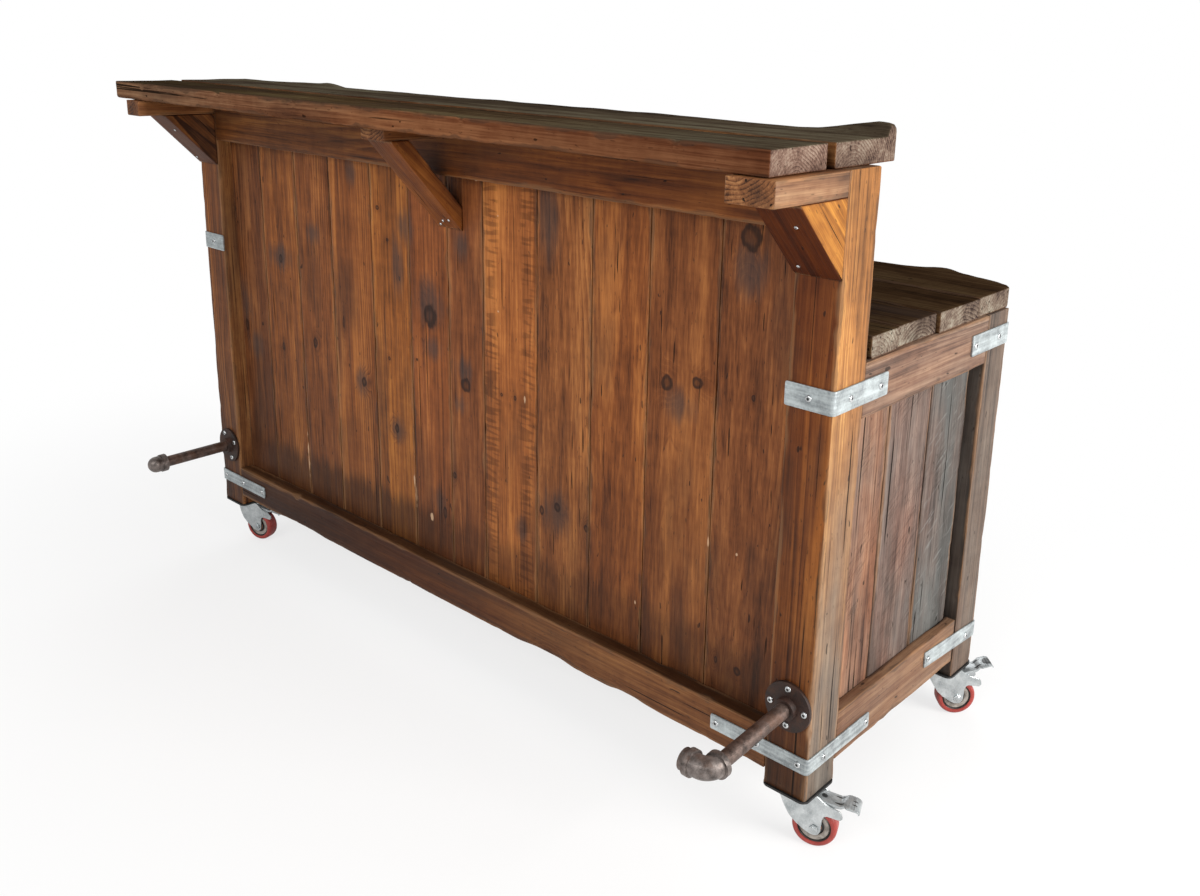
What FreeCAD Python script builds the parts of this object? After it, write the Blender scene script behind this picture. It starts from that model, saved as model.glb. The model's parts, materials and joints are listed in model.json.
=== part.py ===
import os
import math
import FreeCAD
import Part

os.makedirs("parts", exist_ok=True)

V = FreeCAD.Vector

# All sizes are in millimetres.
# X runs along the front from left to right, Y from the guests' side to the bar side, Z up.
# The bench frame has X 0 at the outer face of the left posts, Y 0 at the front of the posts, Z 0 on the floor.

# Whole piece
length = 1877.0
depth = 626.0
bar_height = 1227.5
counter_height = 917.5
caster_height = 116.0

# Posts
post_w = 86.0
post_d = 92.0
rear_post_d = 87.0
edge_ease = 2.0

# Bar top, two planks on edge brackets
top_t = 40.0
top_over_left = 39.0
top_short_right = 19.0
top_front_reach = 179.0
top_front_w = 145.0
top_gap = 20.0
top_rear_w = 177.0
lip_d = 26.0
lip_rise = 21.0
lip_crown_r = 14.0
left_lip_shares = (0.060, 0.114, 0.205, 0.218, 0.237)
left_lip_rise_shares = (0.0, 0.12, 0.40, 0.29, 0.0)
middle_lip_shares = (0.450, 0.522, 0.670, 0.797, 0.908)
middle_lip_rise_shares = (0.0, 0.12, 0.17, 0.17, 0.10)
right_lip_shares = (0.908, 0.929, 0.947, 0.966, 0.987, 0.994, 1.0)
right_lip_rise_shares = (0.10, 0.19, 0.43, 0.71, 1.0, 0.97, 0.85)

# Brackets under the bar top
arm_reach = 188.0
right_arm_t = 39.5
left_arm_t = 35.5
left_arm_w = 58.0
arm_nose_r = 12.0
knee_share = 0.41
mid_arm_w = 73.0
mid_arm_t = 24.5
mid_arm_reach = 150.0
mid_share = 0.4973
brace_w = 74.0
brace_nose = 137.0
brace_heel = 92.0
brace_drop_top = 166.5
brace_drop_foot = 215.5

# Front
apron_t = 36.0
apron_h = 100.0
kick_z = 143.0
kick_h = 80.0
plank_t = 22.0
plank_gap = 3.0
plank_shares = (0.0765, 0.1632, 0.2452, 0.3355, 0.4140, 0.4890, 0.5535, 0.6449, 0.7305, 0.8119, 0.9027)

# Sides and back
side_rail_t = 22.0
side_rail_top_h = 94.5
side_rail_low_z = 154.0
side_rail_low_h = 94.5
side_rail_end_gap = 6.5
side_plank_t = 22.0
side_plank_shares = (0.2956, 0.6383)
side_plank_end_gap = 13.5
bearer_w = 44.0
bearer_h = 94.5
bearer_shares = (0.335, 0.665)
bay_clear = 5.0

# Counter, four planks
counter_t = 40.0
counter_inset = 2.5
counter_front_gap = 17.0
counter_gap = 3.0
counter_rear_over = 31.0
counter_cut_shares = (0.167, 0.419, 0.709)
live_bulge = 56.0
live_edge_shares = (0.0, 0.10, 0.25, 0.40, 0.55, 0.70, 0.833, 0.868, 0.882, 0.897, 0.909,
                    0.928, 0.946, 0.966, 0.979, 0.992, 1.0)
live_edge_bulge_shares = (-0.29, -0.07, 0.07, -0.07, -0.14, -0.04, 0.11, 0.32, 0.54, 0.98, 1.0,
                          0.66, 0.45, 0.20, 0.07, -0.14, -0.59)

# Galvanised straps
strap_t = 3.0
strap_bend_r = 2.5
upper_strap_drop = 27.5
upper_strap_h = 40.0
upper_front_leg = 88.0
upper_side_leg = 162.0
upper_rear_side_leg = 153.0
rear_leg = 88.0
lower_strap_z = 170.0
lower_strap_h = 30.0
lower_front_leg = 203.0
lower_side_leg = 198.0
lower_rear_z = 178.0
lower_rear_h = 33.0
lower_rear_side_leg = 220.0
lower_rear_slant = 18.0

# Screws
screw_head_r = 6.0
screw_head_h = 3.0
screw_head_ease = 0.8
screw_r = 2.5
screw_len = 30.0
screw_clear = 0.3
drill_over = 1.0
strap_screw_in = 17.0
strap_screw_far = 12.0
knee_screw_low_share = 0.13
knee_screw_high_share = 0.70
knee_screw_side_shares = (0.20, 0.66)
knee_screw_bite = 6.6
brace_screw_shares = (0.055, 0.105, 0.125)
brace_screw_side_shares = (0.22, 0.46, 0.76)

# Foot rail brackets
pipe_r = 13.45
pipe_wall = 2.6
thread_clear = 0.3
right_flange_z = 285.5
left_flange_z = 278.0
flange_r = 45.0
flange_t = 6.0
flange_hub_r = 20.0
flange_hub_h = 16.0
flange_screw_pcd = 68.0
flange_screws_turn_right = 0.0
flange_screws_turn_left = 25.0
flange_offset = 43.0
elbow_reach = 218.5
elbow_r = 19.0
elbow_face = 28.0
elbow_arm = 40.0
elbow_bend_r = 22.0
elbow_band_r = 23.0
elbow_band_w = 10.0
elbow_spigot = 10.0
elbow_socket = 8.0
elbow_mouth_depth = 24.0
elbow_bore_r = 10.8
right_pipe_droop = 3.6
left_pipe_droop = 0.0
cap_reach = 226.0
cap_r = 20.0
cap_band_r = 22.0
cap_band_w = 13.0
cap_skirt = 25.0
cap_wall = 9.0

# Casters
plate_w = 92.0
plate_d = 98.0
plate_t = 4.0
plate_corner_r = 14.0
plate_screw_in = 12.0
cup_r = 24.0
cup_h = 4.0
swivel_play = 0.3
crown_t = 3.0
kingpin_r = 6.0
run_fit = 0.05
kingpin_head_r = 9.0
kingpin_head_h = 6.0
wheel_r = 40.0
tyre_w = 32.0
tyre_round = 5.0
core_r = 30.0
core_rim_w = 28.0
core_web_w = 20.0
core_rim_t = 3.0
hub_r = 13.0
hub_w = 33.4
axle_r = 5.0
axle_head_r = 8.5
axle_head_h = 4.0
trail = 36.0
fork_wall = 3.0
fork_inner = 34.0
fork_nose = 34.0
fork_nose_w = 22.0
fork_bow = 8.0
fork_heel = 34.0
fork_low = 48.0
fork_low_x = 11.0
fork_boss_r = 13.0
fork_cheek_up = 30.0
fork_arm_end = 84.0
fork_arm_h = 15.0
fork_arm_top = 85.0
pedal_pin_x = 44.0
pedal_pin_z = 86.0
pedal_pin_r = 3.0
pedal_side_gap = 0.5
pedal_sheet = 2.5
pedal_start = 31.0
pedal_start_z = 100.0
pedal_knee = 80.0
pedal_knee_z = 93.0
pedal_step = 3.5
pedal_tip = 113.0
pedal_tip_z = 92.0
pedal_lip_h = 9.0
front_right_turn = 22.0
rear_right_turn = 44.0
front_left_turn = 18.0
rear_left_turn = 27.0
rear_pedal_raise = 22.0
front_pedal_raise = 0.0

# Derived heights and positions
post_top = bar_height - top_t
counter_under = counter_height - counter_t
rear_post_y = depth - rear_post_d
inner_left = post_w
inner_right = length - post_w
inner_span = inner_right - inner_left
planks_face = apron_t
planks_back = apron_t + plank_t
side_bay = rear_post_y - post_d
knee_size = knee_share * (post_top - counter_under)
upper_strap_z = counter_under - upper_strap_drop - upper_strap_h
counter_w = depth + counter_rear_over - post_d - counter_front_gap


def box(x0, x1, y0, y1, z0, z1):
    return Part.makeBox(x1 - x0, y1 - y0, z1 - z0, V(x0, y0, z0))


def prism(points, direction):
    wire = Part.makePolygon(list(points) + [points[0]])
    return Part.Face(wire).extrude(direction)


def prism_x(x0, x1, points):
    return prism([V(x0, y, z) for y, z in points], V(x1 - x0, 0, 0))


def prism_y(y0, y1, points):
    return prism([V(x, y0, z) for x, z in points], V(0, y1 - y0, 0))


def prism_z(z0, z1, points):
    return prism([V(x, y, z0) for x, y in points], V(0, 0, z1 - z0))


def long_edges(shape, axis):
    """Straight edges that run along one axis."""
    found = []
    for edge in shape.Edges:
        if len(edge.Vertexes) < 2:
            continue
        run = edge.Vertexes[1].Point - edge.Vertexes[0].Point
        if run.cross(axis).Length < edge_ease and run.Length > edge_ease:
            found.append(edge)
    return found


def board(x0, x1, y0, y1, z0, z1):
    """A sawn board with its four long edges eased."""
    shape = box(x0, x1, y0, y1, z0, z1)
    spans = ((x1 - x0, V(1, 0, 0)), (y1 - y0, V(0, 1, 0)), (z1 - z0, V(0, 0, 1)))
    axis = max(spans, key=lambda item: item[0])[1]
    return shape.makeChamfer(edge_ease, long_edges(shape, axis))


def tube(r_out, r_in, start, direction, run):
    outer = Part.makeCylinder(r_out, run, start, direction)
    return outer.cut(Part.makeCylinder(r_in, run, start, direction))


def mirrored(shape):
    return shape.mirror(V(length / 2, 0, 0), V(1, 0, 0))


def group(shapes):
    return Part.makeCompound(list(shapes))


nodes = {}
drills = []


# Screws are driven after everything else is shaped, so each one also leaves a drill
def screw(point, inward, head_r=screw_head_r, run=screw_len):
    inward = V(inward)
    inward.normalize()
    back = V(inward).multiply(-screw_head_h)
    head = Part.makeCylinder(head_r, screw_head_h, point + back, inward)
    rim = [e for e in head.Edges if len(e.Vertexes) == 1 and (e.CenterOfMass - point - back).Length < screw_head_ease]
    head = head.makeChamfer(screw_head_ease, rim)
    drills.append(Part.makeCylinder(screw_r + screw_clear, run + drill_over, point, inward))
    return head.fuse(Part.makeCylinder(screw_r, run, point, inward)).removeSplitter()


# Posts
def make_posts():
    front = board(0, post_w, 0, post_d, caster_height, post_top)
    rear = board(0, post_w, rear_post_y, depth, caster_height, counter_under)
    nodes["post_front_left"] = front
    nodes["post_front_right"] = mirrored(front)
    nodes["post_rear_left"] = rear
    nodes["post_rear_right"] = mirrored(rear)


# Front rails and planks
def make_front():
    nodes["apron_rail"] = board(inner_left, inner_right, 0, apron_t, post_top - apron_h, post_top)
    nodes["kick_rail"] = board(inner_left, inner_right, 0, apron_t, kick_z, kick_z + kick_h)
    cuts = [inner_left + share * inner_span for share in plank_shares]
    starts = [inner_left] + [cut + plank_gap / 2 for cut in cuts]
    ends = [cut - plank_gap / 2 for cut in cuts] + [inner_right]
    planks = []
    for x0, x1 in zip(starts, ends):
        planks.append(board(x0, x1, planks_face, planks_back, kick_z, post_top))
    nodes["front_planks"] = group(planks)


# Bar top
def lip(y1, shares, rise_shares):
    """One raised stretch of the live edge along the rear of the bar top."""
    x0 = -top_over_left
    run = length - top_short_right - x0
    crest = [(x0 + share * run, bar_height + rise * lip_rise) for share, rise in zip(shares, rise_shares)]
    feet = [(x, bar_height) for x, z in (crest[-1], crest[0]) if z > bar_height]
    return prism_y(y1 - lip_d, y1, crest + feet)


def crowned(shape, y1):
    """Rounds the rear upper corner of the highest stretch."""
    x0 = shape.BoundBox.XMin
    x1 = shape.BoundBox.XMax
    top = bar_height + lip_rise
    corner = box(x0, x1, y1 - lip_crown_r, y1, top - lip_crown_r, top)
    round_off = Part.makeCylinder(lip_crown_r, x1 - x0, V(x0, y1 - lip_crown_r, top - lip_crown_r), V(1, 0, 0))
    return shape.cut(corner.cut(round_off))


def make_bar_top():
    x0 = -top_over_left
    x1 = length - top_short_right
    front_y1 = top_front_w - top_front_reach
    rear_y0 = front_y1 + top_gap
    rear_y1 = rear_y0 + top_rear_w
    nodes["bar_plank_front"] = board(x0, x1, -top_front_reach, front_y1, post_top, bar_height)
    nodes["bar_plank_rear"] = board(x0, x1, rear_y0, rear_y1, post_top, bar_height)
    edge_y = rear_y1 - edge_ease
    left = lip(edge_y, left_lip_shares, left_lip_rise_shares)
    middle = lip(edge_y, middle_lip_shares, middle_lip_rise_shares)
    right = lip(edge_y, right_lip_shares, right_lip_rise_shares)
    nodes["bar_rear_lip"] = group([left, middle, crowned(right, edge_y)])


# Brackets that carry the front plank
def make_brackets():
    arm = box(inner_right, length, -arm_reach, 0, post_top - right_arm_t, post_top)
    nose = [e for e in long_edges(arm, V(1, 0, 0)) if e.CenterOfMass.y < -arm_nose_r]
    nose = [e for e in nose if e.CenterOfMass.z < post_top - arm_nose_r]
    nodes["arm_right"] = arm.makeFillet(arm_nose_r, nose)
    nodes["arm_left"] = box(post_w - left_arm_w, post_w, -arm_reach, 0, post_top - left_arm_t, post_top)
    for name, x0, under in (("left", 0, post_top - left_arm_t), ("right", inner_right, post_top - right_arm_t)):
        triangle = [(-knee_size, under), (0, under), (0, under - knee_size)]
        nodes["knee_" + name] = prism_x(x0, x0 + post_w, triangle)
    middle = mid_share * length
    nodes["arm_middle"] = box(middle - mid_arm_w / 2, middle + mid_arm_w / 2, -mid_arm_reach, 0,
                              post_top - mid_arm_t, post_top)
    under = post_top - mid_arm_t
    shape = [(-brace_nose, under), (-brace_heel, under)]
    shape += [(apron_t, post_top - brace_drop_top), (apron_t, post_top - brace_drop_foot)]
    nodes["middle_brace"] = prism_x(middle - brace_w / 2, middle + brace_w / 2, shape)


# Sides
def make_sides():
    end_y = rear_post_y - side_rail_end_gap
    x0 = length - side_rail_t
    top = board(x0, length, post_d, rear_post_y, counter_under - side_rail_top_h, counter_under)
    low = board(x0, length, post_d, end_y, side_rail_low_z, side_rail_low_z + side_rail_low_h)
    nodes["side_rail_top_right"] = top
    nodes["side_rail_top_left"] = mirrored(top)
    nodes["side_rail_low_right"] = low
    nodes["side_rail_low_left"] = mirrored(low)
    last = rear_post_y - side_plank_end_gap
    cuts = [post_d + share * side_bay for share in side_plank_shares]
    starts = [post_d] + [cut + plank_gap / 2 for cut in cuts]
    ends = [cut - plank_gap / 2 for cut in cuts] + [last]
    planks = []
    for y0, y1 in zip(starts, ends):
        planks.append(board(x0 - side_plank_t, x0, y0, y1, side_rail_low_z, counter_under))
    nodes["side_planks_right"] = group(planks)
    nodes["side_planks_left"] = mirrored(group(planks))


# Back rails and the bearers under the counter, hidden in the picture
def make_back():
    y0 = depth - side_rail_t
    nodes["back_rail_top"] = board(inner_left, inner_right, y0, depth, counter_under - side_rail_top_h, counter_under)
    low_top = side_rail_low_z + side_rail_low_h
    nodes["back_rail_low"] = board(inner_left, inner_right, y0, depth, side_rail_low_z, low_top)
    bearers = []
    for share in bearer_shares:
        middle = inner_left + share * inner_span
        x0 = middle - bearer_w / 2
        bearers.append(board(x0, x0 + bearer_w, planks_back, y0, counter_under - bearer_h, counter_under))
    nodes["counter_bearers"] = group(bearers)


# Counter planks, the last one with a live rear edge
def make_counter():
    x0 = counter_inset
    x1 = length - counter_inset
    front = post_d + counter_front_gap
    cuts = [front + share * counter_w for share in counter_cut_shares]
    starts = [front] + [cut + counter_gap / 2 for cut in cuts]
    ends = [cut - counter_gap / 2 for cut in cuts] + [front + counter_w]
    for index, (y0, y1) in enumerate(zip(starts, ends)):
        name = "counter_plank_" + str(index + 1)
        if index < len(cuts):
            nodes[name] = board(x0, x1, y0, y1, counter_under, counter_height)
        else:
            crest = []
            for share, bulge in zip(live_edge_shares, live_edge_bulge_shares):
                crest.append(V(x0 + share * (x1 - x0), y1 + bulge * live_bulge, counter_under))
            curve = Part.BSplineCurve()
            curve.interpolate(crest)
            corner_right = V(x1, y0, counter_under)
            corner_left = V(x0, y0, counter_under)
            edges = [curve.toShape(), Part.makeLine(crest[-1], corner_right)]
            edges += [Part.makeLine(corner_right, corner_left), Part.makeLine(corner_left, crest[0])]
            nodes[name] = Part.Face(Part.Wire(edges)).extrude(V(0, 0, counter_t))


# Straps bent round the posts, made for the right and mirrored for the left
def bent(shape, x, y):
    """Rounds the outer corner of a bend."""
    corner = []
    for edge in long_edges(shape, V(0, 0, 1)):
        if abs(edge.CenterOfMass.x - x) < strap_bend_r and abs(edge.CenterOfMass.y - y) < strap_bend_r:
            if abs(edge.CenterOfMass.x - x) + abs(edge.CenterOfMass.y - y) < strap_bend_r / 2:
                corner.append(edge)
    return shape.makeFillet(strap_bend_r, corner)


def front_strap(z0, height, front_leg, side_leg):
    front = box(length - front_leg, length + strap_t, -strap_t, 0, z0, z0 + height)
    side = box(length, length + strap_t, -strap_t, side_leg, z0, z0 + height)
    return bent(front.fuse(side).removeSplitter(), length + strap_t, -strap_t)


def rear_strap(z0, height, side_leg, slant):
    y0 = depth - side_leg
    y1 = depth + strap_t
    z1 = z0 + height
    outline = [(y0, z0 + slant), (depth, z0), (y1, z0), (y1, z1), (depth, z1), (y0, z1 + slant)]
    side = prism_x(length, length + strap_t, outline)
    rear = box(length - rear_leg, length + strap_t, depth, y1, z0, z1)
    return bent(side.fuse(rear).removeSplitter(), length + strap_t, y1)


def make_straps():
    upper_front = front_strap(upper_strap_z, upper_strap_h, upper_front_leg, upper_side_leg)
    upper_rear = rear_strap(upper_strap_z, upper_strap_h, upper_rear_side_leg, 0)
    lower_front = front_strap(lower_strap_z, lower_strap_h, lower_front_leg, lower_side_leg)
    lower_rear = rear_strap(lower_rear_z, lower_rear_h, lower_rear_side_leg, lower_rear_slant)
    nodes["straps_upper_front"] = group([upper_front, mirrored(upper_front)])
    nodes["straps_upper_rear"] = group([upper_rear, mirrored(upper_rear)])
    nodes["straps_lower_front"] = group([lower_front, mirrored(lower_front)])
    nodes["straps_lower_rear"] = group([lower_rear, mirrored(lower_rear)])


def make_strap_screws():
    screws = []
    upper_z = upper_strap_z + upper_strap_h / 2
    lower_z = lower_strap_z + lower_strap_h / 2
    rear_z = lower_rear_z + lower_rear_h / 2
    far_z = rear_z + lower_rear_slant * (1 - strap_screw_far / lower_rear_side_leg)
    front_y = -strap_t
    rear_y = depth + strap_t
    side_x = length + strap_t
    front_points = [(length - post_w / 2, upper_z), (length - strap_screw_in, lower_z)]
    front_points += [(length - lower_front_leg / 2, lower_z), (length - lower_front_leg + strap_screw_far, lower_z)]
    side_points = [(post_d / 2, upper_z), (upper_side_leg - strap_screw_far * 2, upper_z)]
    side_points += [(post_d / 2, lower_z), (lower_side_leg - strap_screw_far, lower_z)]
    side_points += [(depth - upper_rear_side_leg + strap_screw_far, upper_z), (depth - rear_post_d / 2, upper_z)]
    side_points += [(depth - lower_rear_side_leg + strap_screw_far, far_z), (depth - rear_post_d / 2, rear_z)]
    rear_points = [(length - post_w / 2, upper_z), (length - post_w / 2, rear_z)]
    inset = side_rail_t + side_plank_t
    for x, z in front_points:
        screws.append(screw(V(x, front_y, z), V(0, 1, 0)))
        screws.append(screw(V(length - x, front_y, z), V(0, 1, 0)))
    for y, z in side_points:
        screws.append(screw(V(side_x, y, z), V(-1, 0, 0), screw_head_r, inset - drill_over * 2))
        screws.append(screw(V(length - side_x, y, z), V(1, 0, 0), screw_head_r, inset - drill_over * 2))
    for x, z in rear_points:
        screws.append(screw(V(x, rear_y, z), V(0, -1, 0)))
        screws.append(screw(V(length - x, rear_y, z), V(0, -1, 0)))
    nodes["strap_screws"] = group(screws)


def make_bracket_screws():
    """Each knee's low screw goes through it into the post and its high one into the arm."""
    screws = []
    low = knee_screw_low_share
    high = knee_screw_high_share
    slant = knee_size * math.sqrt(2)
    for x0, under in ((0, post_top - left_arm_t), (inner_right, post_top - right_arm_t)):
        for side, share, wood_share in zip(knee_screw_side_shares, (low, high), (low, 1 - high)):
            point = V(x0 + side * post_w, -share * knee_size, under - (1 - share) * knee_size)
            screws.append(screw(point, V(0, 1, 1), screw_head_r, wood_share * slant + knee_screw_bite))
    foot = V(0, apron_t, post_top - brace_drop_foot)
    nose = V(0, -brace_nose, post_top - mid_arm_t)
    run = nose - foot
    inward = V(0, run.z, -run.y)
    left = mid_share * length - brace_w / 2
    for side, share in zip(brace_screw_side_shares, brace_screw_shares):
        screws.append(screw(V(left + side * brace_w, 0, 0) + foot + V(run).multiply(share), inward))
    nodes["bracket_screws"] = group(screws)


# Foot rail brackets, a floor flange and a pipe on each front post,
# an elbow on the right one and a cap on the left one
def elbow(centre, along):
    """Elbow from a pipe that runs along Y to a mouth that looks along X."""
    face = centre + V(0, elbow_face, 0)
    back = V(0, -1, 0)
    corner = centre + V(along * elbow_bend_r, elbow_bend_r, 0)
    bend_start = centre + V(0, elbow_bend_r, 0)
    bend_end = centre + V(along * elbow_bend_r, 0, 0)
    mouth = centre + V(along * (elbow_arm + elbow_spigot), 0, 0)
    out = V(along, 0, 0)

    def bend(r):
        ring = Part.Face(Part.Wire(Part.makeCircle(r, bend_start, V(0, 1, 0))))
        return ring.revolve(corner, V(0, 0, along), 90)

    solid = bend(elbow_r)
    solid = solid.fuse(Part.makeCylinder(elbow_r, elbow_face - elbow_bend_r, face, back))
    solid = solid.fuse(Part.makeCylinder(elbow_band_r, elbow_band_w, face, back))
    solid = solid.fuse(Part.makeCylinder(elbow_r, elbow_arm - elbow_bend_r, bend_end, out))
    band = centre + V(along * (elbow_arm - elbow_band_w), 0, 0)
    solid = solid.fuse(Part.makeCylinder(elbow_band_r, elbow_band_w, band, out))
    solid = solid.fuse(Part.makeCylinder(elbow_r, elbow_spigot, centre + V(along * elbow_arm, 0, 0), out))
    bore = bend(elbow_bore_r)
    bore = bore.fuse(Part.makeCylinder(elbow_bore_r, elbow_face - elbow_bend_r, face, back))
    bore = bore.fuse(Part.makeCylinder(elbow_bore_r, elbow_arm + elbow_spigot - elbow_bend_r, bend_end, out))
    bore = bore.fuse(Part.makeCylinder(pipe_r + thread_clear, elbow_socket, face, back))
    bore = bore.fuse(Part.makeCylinder(pipe_r + thread_clear, elbow_mouth_depth, mouth, V(-along, 0, 0)))
    return solid.cut(bore).removeSplitter()


def cap(tip):
    """Domed cap that closes a pipe, its tip at the far end."""
    ahead = V(0, 1, 0)
    dome = tip + V(0, cap_r, 0)
    run = cap_skirt - thread_clear
    solid = Part.makeSphere(cap_r, dome)
    solid = solid.fuse(Part.makeCylinder(cap_r, run, dome, ahead))
    solid = solid.fuse(Part.makeCylinder(cap_band_r, cap_band_w, dome + V(0, run - cap_band_w, 0), ahead))
    bore = Part.makeCylinder(pipe_r + thread_clear, run + cap_r - cap_wall, tip + V(0, cap_wall, 0), ahead)
    return solid.cut(bore).removeSplitter()


def bracket(x, z, droop, pipe_run):
    """Flange and pipe on the face of a post, the hub and the pipe dipping by the droop, in degrees."""
    front = V(0, -1, 0)
    dip = V(0, -math.cos(math.radians(droop)), -math.sin(math.radians(droop)))
    root = V(x, 0, z)
    hub_start = V(dip).multiply(flange_hub_r * math.sin(math.radians(droop)))
    flange = Part.makeCylinder(flange_r, flange_t, root, front)
    flange = flange.fuse(Part.makeCylinder(flange_hub_r, flange_hub_h, root + hub_start, dip))
    over = V(dip).multiply(-drill_over)
    bore = Part.makeCylinder(pipe_r + thread_clear, flange_hub_h + flange_t + drill_over, root + over, dip)
    start = pipe_r * math.sin(math.radians(droop)) + run_fit
    pipe = tube(pipe_r, pipe_r - pipe_wall, root + V(dip).multiply(start), dip, pipe_run - start)
    return flange.cut(bore).removeSplitter(), pipe


def make_foot_rail_brackets():
    screws = []
    right_x = length - flange_offset
    right_run = elbow_reach - elbow_face + elbow_socket
    left_run = cap_reach - cap_wall - run_fit
    nodes["flange_left"], nodes["pipe_left"] = bracket(flange_offset, left_flange_z, left_pipe_droop, left_run)
    nodes["flange_right"], nodes["pipe_right"] = bracket(right_x, right_flange_z, right_pipe_droop, right_run)
    nodes["cap_left"] = cap(V(flange_offset, -cap_reach, left_flange_z))
    bend = elbow(V(right_x, -elbow_reach, right_flange_z), -1)
    bend.rotate(V(right_x, 0, right_flange_z), V(1, 0, 0), right_pipe_droop)
    nodes["elbow_right"] = bend
    for x, z, turn in ((flange_offset, left_flange_z, flange_screws_turn_left),
                       (right_x, right_flange_z, flange_screws_turn_right)):
        for quarter in range(4):
            angle = math.radians(turn + 90 * quarter)
            offset = V(math.cos(angle), 0, math.sin(angle)).multiply(flange_screw_pcd / 2)
            screws.append(screw(V(x, -flange_t, z) + offset, V(0, 1, 0)))
    nodes["flange_screws"] = group(screws)


# Casters in their own frame, the swivel axis on Z, the wheel behind it along X
def caster_plate():
    top = caster_height
    plate = box(-plate_w / 2, plate_w / 2, -plate_d / 2, plate_d / 2, top - plate_t, top)
    plate = plate.makeFillet(plate_corner_r, long_edges(plate, V(0, 0, 1))[:4])
    down = V(0, 0, -1)
    plate = plate.fuse(Part.makeCylinder(cup_r, cup_h, V(0, 0, top - plate_t), down))
    pin_run = cup_h + swivel_play * 2 + crown_t + kingpin_head_h
    plate = plate.fuse(Part.makeCylinder(kingpin_r, pin_run, V(0, 0, top - plate_t), down))
    head_top = top - plate_t - cup_h - swivel_play * 2 - crown_t
    plate = plate.fuse(Part.makeCylinder(kingpin_head_r, kingpin_head_h, V(0, 0, head_top), down))
    return plate.removeSplitter()


def caster_fork():
    crown_top = caster_height - plate_t - cup_h - swivel_play
    half = fork_inner / 2 + fork_wall
    inner = fork_inner / 2
    nose = fork_nose_w / 2
    plan = [(-fork_nose, -nose), (-fork_bow, -half), (fork_arm_end, -half)]
    plan += [(fork_arm_end, half), (-fork_bow, half), (-fork_nose, nose)]
    hollow = [(-fork_nose - fork_wall, -nose + fork_wall), (-fork_bow, -inner), (fork_arm_end + fork_wall, -inner)]
    hollow += [(fork_arm_end + fork_wall, inner), (-fork_bow, inner), (-fork_nose - fork_wall, nose - fork_wall)]
    shell = prism_z(0, crown_top, plan).cut(prism_z(0, crown_top - crown_t, hollow))
    reach = wheel_r - fork_boss_r
    side = [(-fork_nose, crown_top), (-fork_low_x, fork_low), (trail - fork_boss_r, wheel_r - fork_boss_r / 2)]
    side += [(trail - fork_boss_r / 2, reach), (trail + fork_boss_r / 2, reach)]
    side += [(trail + fork_boss_r, wheel_r), (trail + fork_boss_r, wheel_r + fork_cheek_up)]
    side += [(fork_arm_end, fork_arm_top - fork_arm_h), (fork_arm_end, fork_arm_top)]
    side += [(pedal_pin_x + fork_boss_r, pedal_pin_z + pedal_pin_r * 2), (fork_heel, crown_top)]
    fork = shell.common(prism_y(-half, half, side))
    fork = fork.cut(Part.makeCylinder(kingpin_r + run_fit, crown_top, V(0, 0, crown_top), V(0, 0, -1)))
    across = V(0, 1, 0)
    fork = fork.cut(Part.makeCylinder(axle_r + screw_clear, half * 2, V(trail, -half, wheel_r), across))
    pin = Part.makeCylinder(pedal_pin_r + run_fit, half * 2, V(pedal_pin_x, -half, pedal_pin_z), across)
    fork = fork.cut(pin).removeSplitter()
    axle = Part.makeCylinder(axle_r, half * 2, V(trail, -half, wheel_r), across)
    axle = axle.fuse(Part.makeCylinder(axle_head_r, axle_head_h, V(trail, -half - axle_head_h, wheel_r), across))
    axle = axle.fuse(Part.makeCylinder(axle_head_r, axle_head_h, V(trail, half, wheel_r), across))
    return group([fork, axle.removeSplitter()])


def turned(points):
    """Ring turned round the axle from a half section of radius and width."""
    section = [V(trail + r, w, wheel_r) for r, w in points]
    face = Part.Face(Part.makePolygon(section + [section[0]]))
    return face.revolve(V(trail, 0, wheel_r), V(0, 1, 0), 360)


def caster_core():
    bore = axle_r + run_fit
    rim = core_r - core_rim_t
    points = [(bore, -hub_w / 2), (hub_r, -hub_w / 2), (hub_r, -core_web_w / 2), (rim, -core_web_w / 2)]
    points += [(rim, -core_rim_w / 2), (core_r, -core_rim_w / 2), (core_r, core_rim_w / 2), (rim, core_rim_w / 2)]
    points += [(rim, core_web_w / 2), (hub_r, core_web_w / 2), (hub_r, hub_w / 2), (bore, hub_w / 2)]
    return turned(points)


def caster_tyre():
    half = tyre_w / 2
    points = [(core_r, -half), (wheel_r - tyre_round, -half), (wheel_r, -half + tyre_round)]
    points += [(wheel_r, half - tyre_round), (wheel_r - tyre_round, half), (core_r, half)]
    return turned(points)


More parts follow.
